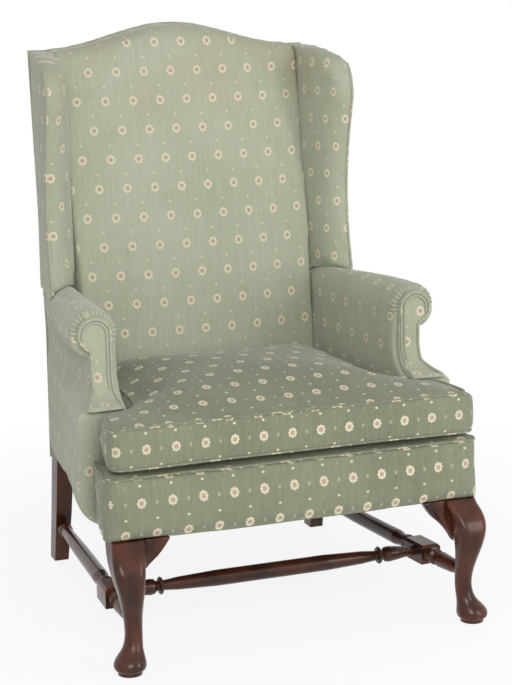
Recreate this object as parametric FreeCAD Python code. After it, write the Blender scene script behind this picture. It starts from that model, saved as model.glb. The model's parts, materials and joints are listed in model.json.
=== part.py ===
import FreeCAD, Part
import math
import os
from FreeCAD import Placement, Rotation, Vector

os.makedirs("parts", exist_ok=True)

# A wingback armchair with a loose T cushion, in millimetres
# The chair faces -Y, +Z is up, and left and right are as seen from the front
# Only the right side is modelled: the left side is its mirror image in the plane X = 0

# Cloth, boards and clearances
cloth = 2.0
sheet = 1.5
hidden_gap = 1.0
cushion_gap = 2.0
bore_gap = 0.1

# Seat frame
rail_thick = 25.0
rail_bottom = 238.0
rail_top = 328.0
post_size = 45.0
front_post_x = 322.0
front_post_y = -228.0
rear_leg_x = 290.0
rear_leg_y = 352.0
rear_leg_wide = 36.0
rear_leg_deep = 44.0
rear_foot_x = 297.0
rear_foot_y = 376.0
rear_foot_wide = 30.0
rear_foot_deep = 36.0
rear_knee_z = 222.0
rear_shin_z = 110.0
rear_shin_out = 0.5
rear_shin_back = 0.62
rear_shin_full = 0.6
block_reach = 62.0
block_margin = 24.0
screw_r = 2.5
screw_head_r = 4.5
screw_long = 32.0
screw_head_tall = 3.0
screw_depth = 14.0
screw_rise = 8.0
dowel_r = 5.0
dowel_half = 18.0
dowel_low = 18.0
dowel_stagger = 16.0
side_rail_front_out = 6.0
side_rail_rear_out = 2.0

# Front leg: height, centre x, centre y, half width, share of the half width that is rounded
leg_stations = [
    (238.0, 336.0, -240.0, 31.0, 0.30),
    (218.0, 340.0, -262.0, 31.5, 0.42),
    (190.0, 344.0, -283.0, 29.5, 0.55),
    (155.0, 341.5, -290.0, 24.5, 0.70),
    (120.0, 338.0, -286.0, 19.4, 0.85),
    (90.0, 335.5, -282.0, 16.8, 0.96),
    (64.0, 335.5, -283.0, 16.4, 0.96),
    (42.0, 340.0, -288.5, 20.0, 0.96),
    (26.0, 346.0, -295.0, 27.8, 0.96),
    (15.0, 347.5, -296.5, 29.6, 0.96),
    (8.0, 347.5, -296.5, 25.8, 0.96),
]
foot_disc_r = 22.5
post_lap = 2.0
knee_reach = 67.0
knee_bracket_thick = 18.0
knee_bracket_drop = 84.0
knee_bracket_back = 3.0

# Stretchers
stretcher_front_z = 96.0
stretcher_rear_z = 77.0
side_stretcher_r = 11.0
cross_y = -118.0
cross_block_long = 76.0
cross_block_wide = 43.0
cross_block_tall = 38.0
cross_block_chamfer = 5.0
cross_mid_r = 16.2
tenon_r = 8.0
tenon_long = 14.0

# Upright frame
back_post_wide = 30.0
back_post_deep = 42.0
back_post_shift = 3.0
frame_setback = 10.0
crest_rail_thick = 24.0
crest_rail_deep = 62.0
crest_rail_drop = 30.0
lower_rail_z = 470.0
lower_rail_tall = 40.0
lower_rail_in = 8.0
wing_post_wide = 20.0
wing_post_deep = 34.0
wing_post_in = 8.0
wing_post_back = 14.0
wing_rail_drop = 50.0
wing_rail_tall = 26.0
arm_rail_wide = 44.0
arm_rail_thick = 24.0
tack_rail_z = 395.0
tack_rail_tall = 30.0
tack_rail_thick = 15.0
tack_rail_in = 34.0
stump_thick = 26.0
stump_foot_back = 8.0
stump_head_back = 10.0
stump_step = 30.0
strap_wide = 50.0
strap_count = 5
strap_low = 30.0
strap_high = 20.0

# Springs
spring_wire_r = 1.8
spring_count = 5
spring_half_wide = 20.0
spring_bend_r = 11.0
spring_clip_wide = 18.0
spring_clip_deep = 6.0
spring_clip_low = 9.0
spring_margin = 40.0
spring_lead = 16.0

# Outside of the upholstery
seat_front_y = -270.0
front_half = 381.0
front_side_in = 25.0
front_corner_r = 23.0
border_bulge = 4.0
border_bottom = 236.0
deck_top = 356.0
seat_under_back = 40.0
dust_setback = 4.0
arm_front_y = -122.0
side_bottom = 224.0
hip_z = 448.0
waist_z = 502.0
belly_z = 300.0
arm_roll_z = 580.0
rear_y = 385.0
rear_bend_z = 500.0
rear_top_y = 465.0
rear_top_z = 1085.0
rear_half = 308.0
facing_thick = 8.0
facing_scroll_r = 33.0
facing_wide = 42.0
facing_toe = 26.0
facing_toe_in = 4.0
facing_toe_out = 36.0
facing_top_y = -50.0
facing_waist_y = -60.0
facing_waist_z = 520.0
roll_seam_out = 4.0

# Arm, from front to rear: y, inside x, roll centre x, roll radius, roll end angle, waist, hip, belly, bottom
arm_stations = [
    (-150.0, 284.0, 333.0, 48.0, -80.0, 337.0, 386.0, 391.0, 342.0),
    (-52.0, 278.0, 332.0, 48.0, -80.0, 336.0, 373.0, 377.0, 334.0),
    (70.0, 266.0, 323.0, 45.0, -78.0, 333.0, 351.0, 353.0, 324.0),
    (200.0, 251.0, 305.0, 38.0, -60.0, 322.0, 331.0, 332.0, 314.0),
    (400.0, 234.0, 284.0, 27.0, -20.0, 307.0, 308.0, 308.0, 302.0),
]

# Inner back
back_half = 252.0
back_top_half = 270.0
back_crown = 22.0
inner_low = (250.0, 330.0)
inner_mid = (308.0, 700.0)
inner_high = (398.0, 1060.0)
crest_shoulder = 1081.0
crest_rise = 49.0
crest_round = 45.0
back_steps = 5

# Wing: inside and outside planes, front edge and top edge
wing_front_y = 255.0
wing_inner_x = 287.0
wing_inner_slope = -0.42
wing_outer_x = 332.0
wing_outer_slope = -0.137
wing_edge = [(228.0, 590.0), (262.0, 800.0), (238.0, 955.0), (243.0, 1025.0), (280.0, 1059.0),
             (350.0, 1073.0), (480.0, 1080.0)]
wing_hollow_y = 275.0
wing_hollow_low = -0.42
wing_hollow_high = -0.07
wing_layers = [(0.0, 18.0), (0.12, 8.0), (0.35, 1.5), (1.0, 0.0)]

# T cushion: outline, boxing heights and crowns
cushion_front_y = -268.0
cushion_ear_half = 371.0
cushion_ear_back_y = -136.0
cushion_ear_in = 26.0
cushion_rear_y = 226.0
cushion_rear_bow = 14.0
cushion_pull_in = 7.0
cushion_corner_r = 22.0
cushion_crotch_r = 14.0
boxing_bottom = 371.0
boxing_top = 445.0
boxing_swell = 3.0
crown_top = 27.0
crown_shrinks = [0.95, 0.86, 0.72, 0.5, 0.25, 0.08]
piping_r = 3.2
piping_gap = 1.6
piping_proud = 4.0

# How far the cutting shapes reach past the chair
far = 700.0


# Small shapes
def line(a, b):
    return Part.LineSegment(a, b).toShape()


def arc(a, middle, b):
    return Part.Arc(a, middle, b).toShape()


def box(x0, x1, y0, y1, z0, z1):
    return Part.makeBox(x1 - x0, y1 - y0, z1 - z0, Vector(x0, y0, z0))


def polygon(points):
    return Part.makePolygon(points + [points[0]])


def prism_x(points, x0=-far, x1=far):
    face = Part.Face(polygon([Vector(x0, y, z) for y, z in points]))
    return face.extrude(Vector(x1 - x0, 0, 0))


def prism_y(points):
    face = Part.Face(polygon([Vector(x, -far, z) for x, z in points]))
    return face.extrude(Vector(0, 2 * far, 0))


def prism_z(points, z0, z1):
    face = Part.Face(polygon([Vector(x, y, z0) for x, y in points]))
    return face.extrude(Vector(0, 0, z1 - z0))


def loft(wires, ruled=False):
    return Part.makeLoft(wires, True, ruled)


def mirror(shape):
    return shape.mirror(Vector(0, 0, 0), Vector(1, 0, 0))


def rod(start, end, radius):
    way = end - start
    return Part.makeCylinder(radius, way.Length, start, way)


def level_rectangle(x0, x1, y0, y1, z):
    return polygon([Vector(x0, y0, z), Vector(x1, y0, z), Vector(x1, y1, z), Vector(x0, y1, z)])


def upright_rectangle(x0, x1, y, z0, z1):
    return polygon([Vector(x0, y, z0), Vector(x1, y, z0), Vector(x1, y, z1), Vector(x0, y, z1)])


def between(a, b, share):
    return a + (b - a) * share


# Lines that many pieces share
def rear_surface(z):
    if z <= rear_bend_z:
        return rear_y
    return between(rear_y, rear_top_y, (z - rear_bend_z) / (rear_top_z - rear_bend_z))


def rear_band(offset_near, offset_far, z0, z1):
    levels = [z0, rear_bend_z, z1] if z0 < rear_bend_z < z1 else [z0, z1]
    near = [(rear_surface(z) + offset_near, z) for z in levels]
    away = [(rear_surface(z) + offset_far, z) for z in reversed(levels)]
    return near + away


def crest_height(x):
    share = min(abs(x), back_top_half) / back_top_half
    return crest_shoulder + crest_rise * 0.5 * (1 + math.cos(math.pi * share))


def back_half_at(z):
    return between(back_half, back_top_half, (z - inner_low[1]) / (crest_shoulder - inner_low[1]))


def back_post_x():
    return rear_leg_x - back_post_shift


def arm_value(y, column):
    for here, there in zip(arm_stations, arm_stations[1:]):
        if y <= there[0]:
            return between(here[column], there[column], (y - here[0]) / (there[0] - here[0]))
    return arm_stations[-1][column]


def side_rail_x(y):
    front = front_post_y + post_size / 2
    rear = rear_leg_y - rear_leg_deep / 2
    share = (y - front) / (rear - front)
    return between(front_post_x + side_rail_front_out, rear_leg_x + side_rail_rear_out, share)


# Closed shapes of the upholstery, each with an inset for the layer under the cloth
def arm_section(station, inset):
    y, inner, roll_x, roll_r, roll_end, waist, hip, belly, bottom = station
    radius = roll_r - inset

    def on_roll(degrees):
        turn = math.radians(degrees)
        return Vector(roll_x + radius * math.cos(turn), y, arm_roll_z + radius * math.sin(turn))

    foot = Vector(inner + inset, y, side_bottom + inset)
    under_roll = on_roll(roll_end)
    waist_point = Vector(waist - inset, y, waist_z)
    hip_point = Vector(hip - inset, y, hip_z - inset)
    belly_point = Vector(belly - inset, y, belly_z)
    bottom_point = Vector(bottom - inset, y, side_bottom + inset)
    flare = Vector(between(waist, hip, 0.30) - inset, y, between(waist_z, hip_z, 0.70))
    tuck = Vector(between(belly, bottom, 0.26) - inset, y, between(belly_z, side_bottom, 0.68) + inset)
    return Part.Wire([
        line(foot, on_roll(200)),
        arc(on_roll(200), on_roll(145), on_roll(90)),
        arc(on_roll(90), on_roll((90 + roll_end) / 2), under_roll),
        line(under_roll, waist_point),
        arc(waist_point, flare, hip_point),
        line(hip_point, belly_point),
        arc(belly_point, tuck, bottom_point),
        line(bottom_point, foot),
    ])


def arm_form(inset):
    return loft([arm_section(station, inset) for station in arm_stations])


def back_section(share, inset):
    def place(y, z):
        return Vector(share * back_half_at(z), y, z)

    crown = back_crown * (1 - share ** 2)
    top = crest_height(share * back_top_half) - inset
    shift = inset - crown
    low = place(inner_low[0] + shift, inner_low[1] + sheet)
    middle = place(inner_mid[0] + shift, inner_mid[1])
    lean = (inner_high[0] - inner_mid[0]) / (inner_high[1] - inner_mid[1])
    high_z = top - crest_round
    high = place(inner_high[0] + shift + lean * (high_z - inner_high[1]), high_z)
    apex = place(high.y + crest_round, top)
    bend = place(high.y + crest_round * 0.20, top - crest_round * 0.30)
    behind = place(far, top)
    below = place(far, inner_low[1] + sheet)
    return Part.Wire([
        arc(low, middle, high),
        arc(high, bend, apex),
        line(apex, behind),
        line(behind, below),
        line(below, low),
    ])


def back_form(inset):
    shares = [step / back_steps for step in range(-back_steps, back_steps + 1)]
    return loft([back_section(share, inset) for share in shares])


def wing_section(share, edge_inset, inset):
    shrink = edge_inset + inset

    def place(y, z):
        inner = wing_inner_x + inset + wing_inner_slope * (y - wing_front_y)
        outer = wing_outer_x + wing_outer_slope * (y - wing_front_y)
        return Vector(between(inner, outer, share), y, z)

    low, waist, brow, turn, cap, top, end = wing_edge
    rear_low = place(end[0], low[1])
    edge = [
        place(low[0] + shrink, low[1]),
        place(waist[0] + shrink, waist[1]),
        place(brow[0] + shrink, brow[1]),
        place(turn[0] + shrink * 0.9, turn[1] - shrink * 0.4),
        place(cap[0] + shrink * 0.3, cap[1] - shrink),
        place(top[0], top[1] - shrink),
        place(end[0], end[1] - shrink),
    ]
    return Part.Wire([
        arc(edge[0], edge[1], edge[2]),
        arc(edge[2], edge[3], edge[4]),
        arc(edge[4], edge[5], edge[6]),
        line(edge[6], rear_low),
        line(rear_low, edge[0]),
    ])


# The room beside the inner back: the wing's inner face turns outwards towards its top
def wing_hollow(inset):
    def ring(z, slope):
        x = wing_inner_x + wing_inner_slope * (wing_hollow_y - wing_front_y) + inset
        rear = wing_edge[-1][0]
        x_rear = x + slope * (rear - wing_hollow_y)
        return polygon([Vector(x, wing_hollow_y, z), Vector(x_rear, rear, z),
                        Vector(0, rear, z), Vector(0, wing_hollow_y, z)])
    return loft([ring(wing_edge[0][1], wing_hollow_low), ring(crest_shoulder, wing_hollow_high)], True)


def wing_form(inset):
    form = loft([wing_section(share, edge, inset) for share, edge in wing_layers])
    return biggest(form.cut(wing_hollow(inset)))


def border_outline(inset, z):
    half = front_half - inset
    rear = half - front_side_in
    front = seat_front_y + border_bulge + inset
    left, right = Vector(-half, front, z), Vector(half, front, z)
    wire = Part.Wire([arc(left, Vector(0, front - border_bulge, z), right),
                      line(right, Vector(rear, arm_front_y, z)),
                      line(Vector(rear, arm_front_y, z), Vector(-rear, arm_front_y, z)),
                      line(Vector(-rear, arm_front_y, z), left)])
    solid = Part.Face(wire).extrude(Vector(0, 0, front_corner_r))
    corners = [edge for edge in solid.Edges
               if abs(edge.Vertexes[0].Y - front) < 0.01 and abs(edge.Vertexes[1].Y - front) < 0.01
               and abs(edge.Vertexes[0].X - edge.Vertexes[1].X) < 0.01]
    solid = solid.makeFillet(front_corner_r - inset, corners)
    return min(solid.Faces, key=lambda face: face.CenterOfMass.z)


def border_form(inset, bottom, top):
    return border_outline(inset, bottom).extrude(Vector(0, 0, top - bottom))


rear_cut = prism_x([(rear_surface(z), z) for z in (0.0, rear_bend_z, 2 * rear_top_z)]
                   + [(far * 2, 2 * rear_top_z), (far * 2, 0.0)])


def facing_curve(forward):
    x = -far
    top = Vector(x, facing_top_y - forward, arm_roll_z + far)
    waist = Vector(x, facing_waist_y - forward, facing_waist_z)
    bend = Vector(x, between(facing_waist_y, arm_front_y, 0.27) - forward * 0.8,
                  between(facing_waist_z, hip_z, 0.70) + forward * 0.6)
    tip = Vector(x, arm_front_y, hip_z + forward)
    return top, waist, bend, tip


def front_waste():
    top, waist, bend, tip = facing_curve(0.0)
    corner_low = Vector(-far, arm_front_y, 0)
    out_low = Vector(-far, -far, 0)
    out_top = Vector(-far, -far, top.z)
    wire = Part.Wire([line(top, waist), arc(waist, bend, tip), line(tip, corner_low),
                      line(corner_low, out_low), line(out_low, out_top), line(out_top, top)])
    return Part.Face(wire).extrude(Vector(2 * far, 0, 0))


def facing_band():
    top, waist, bend, tip = facing_curve(0.0)
    top2, waist2, bend2, tip2 = facing_curve(facing_thick)
    toe = Vector(-far, arm_front_y - facing_thick, hip_z + facing_thick)
    toe_low = Vector(-far, arm_front_y - facing_thick, hip_z)
    wire = Part.Wire([line(top, waist), arc(waist, bend, tip), line(tip, toe_low), line(toe_low, toe),
                      arc(toe, bend2, waist2), line(waist2, top2), line(top2, top)])
    return Part.Face(wire).extrude(Vector(2 * far, 0, 0))


# The facing seen from the front: a scroll, a strip down from its inner side, and a spreading toe
def facing_outline():
    roll_x = arm_stations[1][2]
    r = facing_scroll_r
    near = roll_x - r
    away = near + facing_wide
    top = hip_z + facing_toe
    strip = prism_y([(near, arm_roll_z), (away, arm_roll_z), (away, top), (roll_x + facing_toe_out, hip_z),
                     (near - facing_toe_in, hip_z), (near - facing_toe_in, top)])
    scroll = Part.makeCylinder(r, 2 * far, Vector(roll_x, -far, arm_roll_z), Vector(0, 1, 0))
    return strip.fuse(scroll)


# Front leg: a cabriole loft with a square post above it and a pad foot below
def rounded_square(z, x, y, half, share):
    r = half * share
    flat = half - r
    points = []
    for quarter in range(4):
        turn = math.pi / 2 * quarter
        centre_x = flat * (math.cos(turn) - math.sin(turn))
        centre_y = flat * (math.sin(turn) + math.cos(turn))
        for part in (0.0, 0.5, 1.0):
            angle = turn + math.pi / 2 * part
            points.append(Vector(x + centre_x + r * math.cos(angle), y + centre_y + r * math.sin(angle), z))
    edges = []
    for quarter in range(4):
        a, middle, b = points[3 * quarter: 3 * quarter + 3]
        edges.append(arc(a, middle, b))
        edges.append(line(b, points[(3 * quarter + 3) % 12]))
    return Part.Wire(edges)


def front_leg():
    leg = loft([rounded_square(*station) for station in leg_stations])
    x0 = front_post_x - post_size / 2
    y0 = front_post_y - post_size / 2
    post = box(x0, x0 + post_size, y0, y0 + post_size, rail_bottom - post_lap, rail_top)
    foot_z, foot_x, foot_y = leg_stations[-1][:3]
    disc = Part.makeCylinder(foot_disc_r, foot_z + 1, Vector(foot_x, foot_y, 0))
    return leg.fuse([post, disc]).removeSplitter()


# Knee bracket: the carved ear beside the knee, under the front border
def knee_bracket():
    x_out = front_post_x
    x_in = x_out - knee_reach
    top = rail_bottom
    low = top - knee_bracket_drop
    front = seat_front_y + knee_bracket_back
    tip = Vector(x_in, front, top)
    heel = Vector(x_out, front, top)
    toe = Vector(x_out, front, low)
    curl = Vector(between(x_in, x_out, 0.40), front, between(top, low, 0.42))
    wire = Part.Wire([line(tip, heel), line(heel, toe),
                      arc(toe, Vector(between(x_in, x_out, 0.74), front, between(top, low, 0.68)), curl),
                      arc(curl, Vector(between(x_in, x_out, 0.12), front, between(top, low, 0.15)), tip)])
    return Part.Face(wire).extrude(Vector(0, knee_bracket_thick, 0))


# Rear leg: square, swept back to the floor, and cut level at the floor and at the back post
def rear_shin():
    return (between(rear_foot_x, rear_leg_x, rear_shin_out), between(rear_foot_y, rear_leg_y, rear_shin_back),
            between(rear_foot_wide, rear_leg_wide, rear_shin_full),
            between(rear_foot_deep, rear_leg_deep, rear_shin_full))


def rear_leg():
    def ring(x, y, z, wide, deep):
        return level_rectangle(x - wide / 2, x + wide / 2, y - deep / 2, y + deep / 2, z)
    shin_x, shin_y, shin_wide, shin_deep = rear_shin()
    return loft([
        ring(rear_foot_x, rear_foot_y, 0, rear_foot_wide, rear_foot_deep),
        ring(shin_x, shin_y, rear_shin_z, shin_wide, shin_deep),
        ring(rear_leg_x, rear_leg_y, rear_knee_z, rear_leg_wide, rear_leg_deep),
        ring(rear_leg_x, rear_leg_y, rail_top, rear_leg_wide, rear_leg_deep),
    ], True)


def post_rear(z):
    return rear_surface(z) - frame_setback


def back_post():
    def ring(z):
        rear = post_rear(z)
        x = back_post_x()
        return level_rectangle(x - back_post_wide / 2, x + back_post_wide / 2,
                               rear - back_post_deep, rear, z)
    return loft([ring(rail_top), ring(rear_bend_z)], True).fuse(
        loft([ring(rear_bend_z), ring(post_top)], True)).removeSplitter()


post_top = crest_shoulder - crest_rail_drop - crest_rail_deep


def crest_points():
    count = 2 * back_steps
    xs = [back_top_half * (1 - 2 * step / count) for step in range(count + 1)]
    return [(x, crest_height(x)) for x in xs]


def crest_rail():
    rear = post_rear(post_top)
    front = rear - crest_rail_thick
    half = back_post_x() + back_post_wide / 2
    shoulder = crest_shoulder - crest_rail_drop
    points = [(-half, post_top), (half, post_top), (half, shoulder)]
    points += [(x, z - crest_rail_drop) for x, z in crest_points()[1:-1]]
    points.append((-half, shoulder))
    face = Part.Face(polygon([Vector(x, front, z) for x, z in points]))
    return face.extrude(Vector(0, crest_rail_thick, 0))


def lower_back_rail():
    half = back_post_x() - back_post_wide / 2
    rear = post_rear(lower_rail_z) - lower_rail_in
    return box(-half, half, rear - rail_thick, rear, lower_rail_z, lower_rail_z + lower_rail_tall)


# Seat rails, between the posts and the rear legs
def front_rail():
    half = front_post_x - post_size / 2
    front = front_post_y - post_size / 2
    return box(-half, half, front, front + rail_thick, rail_bottom, rail_top)


def back_rail():
    half = rear_leg_x - rear_leg_wide / 2
    rear = rear_leg_y + rear_leg_deep / 2
    return box(-half, half, rear - rail_thick, rear, rail_bottom, rail_top)


def side_rail():
    front = front_post_y + post_size / 2
    rear = rear_leg_y - rear_leg_deep / 2
    half = rail_thick / 2
    return loft([
        upright_rectangle(side_rail_x(front) - half, side_rail_x(front) + half, front, rail_bottom, rail_top),
        upright_rectangle(side_rail_x(rear) - half, side_rail_x(rear) + half, rear, rail_bottom, rail_top),
    ], True)


def front_corner_block():
    x = front_post_x + post_size / 2
    y = front_post_y - post_size / 2 + rail_thick
    reach = block_reach + post_size
    return prism_z([(x - reach, y), (x, y), (x, y + reach)], rail_bottom + block_margin,
                   rail_top - block_margin)


def rear_corner_block():
    x = rear_leg_x + rear_leg_wide / 2
    y = rear_leg_y + rear_leg_deep / 2 - rail_thick
    reach = block_reach + rear_leg_wide
    return prism_z([(x - reach, y), (x, y), (x, y - reach)], rail_bottom + block_margin,
                   rail_top - block_margin)


def screw(head, way):
    shank = Part.makeCylinder(screw_r, screw_long, head, way)
    cap = Part.makeCylinder(screw_head_r, screw_head_tall, head - way * screw_head_tall, way)
    return shank.fuse(cap).removeSplitter()


def block_screws():
    middle = (rail_bottom + rail_top) / 2
    x = front_post_x - post_size / 2 - block_reach * 0.55
    y_front = front_post_y - post_size / 2 + rail_thick
    y_side = front_post_y + post_size / 2 + block_reach * 0.55
    x_rear = rear_leg_x - rear_leg_wide / 2 - block_reach * 0.45
    y_rear = rear_leg_y + rear_leg_deep / 2 - rail_thick
    y_side_rear = rear_leg_y - rear_leg_deep / 2 - block_reach * 0.55
    side = rail_thick / 2 + screw_depth
    high = middle + screw_rise
    return [
        screw(Vector(x, y_front + screw_depth, middle), Vector(0, -1, 0)),
        screw(Vector(side_rail_x(y_side) - side, y_side, high), Vector(1, 0, 0)),
        screw(Vector(x_rear, y_rear - screw_depth, middle), Vector(0, 1, 0)),
        screw(Vector(side_rail_x(y_side_rear) - side, y_side_rear, high), Vector(1, 0, 0)),
    ]


def frame_dowels():
    pins = []
    front = front_post_y - post_size / 2 + rail_thick / 2
    inner = front_post_x - post_size / 2
    rear = rear_leg_y + rear_leg_deep / 2 - rail_thick / 2
    rear_inner = rear_leg_x - rear_leg_wide / 2
    for z in (rail_bottom + dowel_low, rail_top - dowel_low - dowel_stagger):
        pins.append(rod(Vector(inner - dowel_half, front, z), Vector(inner + dowel_half, front, z), dowel_r))
        pins.append(rod(Vector(rear_inner - dowel_half, rear, z),
                        Vector(rear_inner + dowel_half, rear, z), dowel_r))
    for z in (rail_bottom + dowel_low + dowel_stagger, rail_top - dowel_low):
        for y in (front_post_y + post_size / 2, rear_leg_y - rear_leg_deep / 2):
            x = side_rail_x(y)
            pins.append(rod(Vector(x, y - dowel_half, z), Vector(x, y + dowel_half, z), dowel_r))
    return pins


# Upright boards of the arm and the wing
def arm_stump():
    width = arm_rail_wide
    x0 = arm_value(facing_waist_y, 2) - width / 2
    foot_y = arm_front_y + stump_foot_back
    head_y = facing_waist_y + stump_head_back
    head = arm_roll_z - arm_rail_thick / 2
    step = hip_z - stump_step
    board = loft([
        level_rectangle(x0, x0 + width, foot_y, foot_y + stump_thick, rail_bottom),
        level_rectangle(x0, x0 + width, foot_y, foot_y + stump_thick, step),
        level_rectangle(x0, x0 + width, head_y, head_y + stump_thick, facing_waist_z),
        level_rectangle(x0, x0 + width, head_y, head_y + stump_thick, head),
    ], True)
    wide = box(x0, arm_value(foot_y, 6) - frame_setback, foot_y, foot_y + stump_thick,
               belly_z - stump_step, step)
    return board.fuse(wide).removeSplitter()


def arm_rail():
    front = facing_waist_y + stump_head_back
    rear = post_rear(arm_roll_z) - back_post_deep / 2
    x_front = arm_value(front, 2)
    x_rear = back_post_x()
    low = arm_roll_z - arm_rail_thick / 2
    high = low + arm_rail_thick
    half = arm_rail_wide / 2
    rear_half_wide = back_post_wide / 2
    return loft([
        upright_rectangle(x_front - half, x_front + half, front, low, high),
        upright_rectangle(x_rear - rear_half_wide, x_rear + rear_half_wide, rear, low, high),
    ], True)


def tack_rail():
    front = arm_front_y + stump_foot_back + stump_thick
    rear = post_rear(tack_rail_z) - back_post_deep
    x_front = arm_value(front, 1) + tack_rail_in
    x_rear = back_post_x()
    half = tack_rail_thick / 2
    return loft([
        upright_rectangle(x_front - half, x_front + half, front, tack_rail_z, tack_rail_z + tack_rail_tall),
        upright_rectangle(x_rear - half, x_rear + half, rear, tack_rail_z, tack_rail_z + tack_rail_tall),
    ], True)


wing_rail_z = wing_edge[4][1] - wing_rail_drop
wing_board_y = wing_edge[1][0] + wing_post_back


def wing_board_x():
    return wing_outer_x + wing_outer_slope * (wing_board_y - wing_front_y) - wing_post_in


def wing_post():
    x = wing_board_x()
    rear = wing_board_y + wing_post_deep
    return loft([
        level_rectangle(x - wing_post_wide - wing_post_in, x - wing_post_in, wing_board_y, rear,
                        arm_roll_z + arm_rail_thick / 2),
        level_rectangle(x - wing_post_wide, x, wing_board_y, rear, wing_rail_z),
    ], True)


def wing_rail():
    x = wing_board_x()
    middle = wing_board_y + wing_post_deep
    rear = post_rear(post_top) - crest_rail_thick
    x_rear = back_post_x() + back_post_wide / 2
    points = [(x - wing_post_wide, wing_board_y), (x, wing_board_y), (x, middle),
              (x_rear, rear), (x_rear - wing_post_wide, rear), (x - wing_post_wide, middle)]
    return prism_z(points, wing_rail_z, wing_rail_z + wing_rail_tall)


# Turned stretchers, made along +Y or +X from a list of distance and radius
def turned(points, start, way):
    first, last = points[0][0], points[-1][0]
    profile = [Vector(0, 0, first)] + [Vector(r, 0, d) for d, r in points] + [Vector(0, 0, last)]
    solid = Part.Face(polygon(profile)).revolve(Vector(0, 0, 0), Vector(0, 0, 1), 360)
    solid.Placement = Placement(start, Rotation(Vector(0, 0, 1), way))
    return solid


def side_stretcher_ends():
    level = min(leg_stations, key=lambda station: abs(station[0] - stretcher_front_z))
    front = Vector(level[1], level[2] + level[3], stretcher_front_z)
    share = stretcher_rear_z / rear_shin_z
    shin_x, shin_y, _, shin_deep = rear_shin()
    leg_front = between(rear_foot_y, shin_y, share) - between(rear_foot_deep, shin_deep, share) / 2
    rear = Vector(between(rear_foot_x, shin_x, share), leg_front, stretcher_rear_z)
    return front, rear


def side_stretcher():
    front, rear = side_stretcher_ends()
    way = rear - front
    total = way.Length
    way.normalize()
    block_at = (cross_y - front.y) / way.y
    half = cross_block_long / 2
    near, away = block_at - half, block_at + half
    r = side_stretcher_r
    block_r = cross_block_tall * 0.42
    front_part = turned([
        (-tenon_long, tenon_r), (1.0, tenon_r), (1.0, r * 0.9), (24.0, r * 1.25), (near - 42.0, r * 1.45),
        (near - 24.0, r * 0.95), (near - 20.0, r * 1.5), (near - 12.0, r * 1.5), (near - 8.0, r),
        (near, block_r), (block_at, block_r),
    ], front, way)
    rear_part = turned([
        (block_at, block_r), (away, block_r), (away + 8.0, r), (away + 12.0, r * 1.5), (away + 20.0, r * 1.5),
        (away + 24.0, r * 0.95), (away + 60.0, r * 1.45), (total * 0.70, r * 1.35), (total - 34.0, r * 1.05),
        (total - 28.0, r * 1.35), (total - 22.0, r * 1.35), (total - 18.0, r * 0.9), (total - 2.0, r * 0.95),
        (total - 2.0, tenon_r), (total + tenon_long, tenon_r),
    ], front, way)
    block = box(-cross_block_wide / 2, cross_block_wide / 2, -half, half,
                -cross_block_tall / 2, cross_block_tall / 2)
    top_edges = [edge for edge in block.Edges
                 if min(vertex.Z for vertex in edge.Vertexes) > 0]
    block = block.makeChamfer(cross_block_chamfer, top_edges)
    centre = front + way * block_at
    block.Placement = Placement(centre, Rotation(Vector(0, 1, 0), way))
    return front_part.fuse([rear_part, block]).removeSplitter()


def cross_centre():
    front, rear = side_stretcher_ends()
    return front + (rear - front) * ((cross_y - front.y) / (rear.y - front.y))


def cross_stretcher():
    centre = cross_centre()
    end = centre.x - cross_block_wide / 2 + 1.0
    r = cross_mid_r
    half_profile = [
        (end + tenon_long, tenon_r), (end, tenon_r), (end, r * 0.58), (end - 16.0, r * 0.66),
        (end - 38.0, r * 0.86), (end - 54.0, r * 0.97), (end - 62.0, r * 0.9), (end - 67.0, r * 0.6),
        (end - 71.0, r * 0.6), (end - 72.5, r * 0.95), (end - 75.5, r * 1.08), (end - 78.5, r * 0.95),
        (end - 80.0, r * 0.6), (end - 86.0, r * 0.62), (end - 112.0, r * 0.78), (end - 190.0, r * 0.97),
    ]
    points = [(-d, radius) for d, radius in half_profile]
    points += [(d, radius) for d, radius in reversed(half_profile)]
    return turned(points, Vector(0, centre.y, centre.z), Vector(1, 0, 0))


# Springs: zigzag wires from the front rail to the back rail, held in clips
def spring_ends():
    front = front_post_y - post_size / 2 + rail_thick
    rear = rear_leg_y + rear_leg_deep / 2 - rail_thick
    return front, rear


def spring_xs():
    step = 2 * (arm_value(rear_leg_y, 1) - spring_margin) / spring_count
    return [step * (number - (spring_count - 1) / 2) for number in range(spring_count)]


def spring_z():
    return rail_top - spring_wire_r


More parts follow.
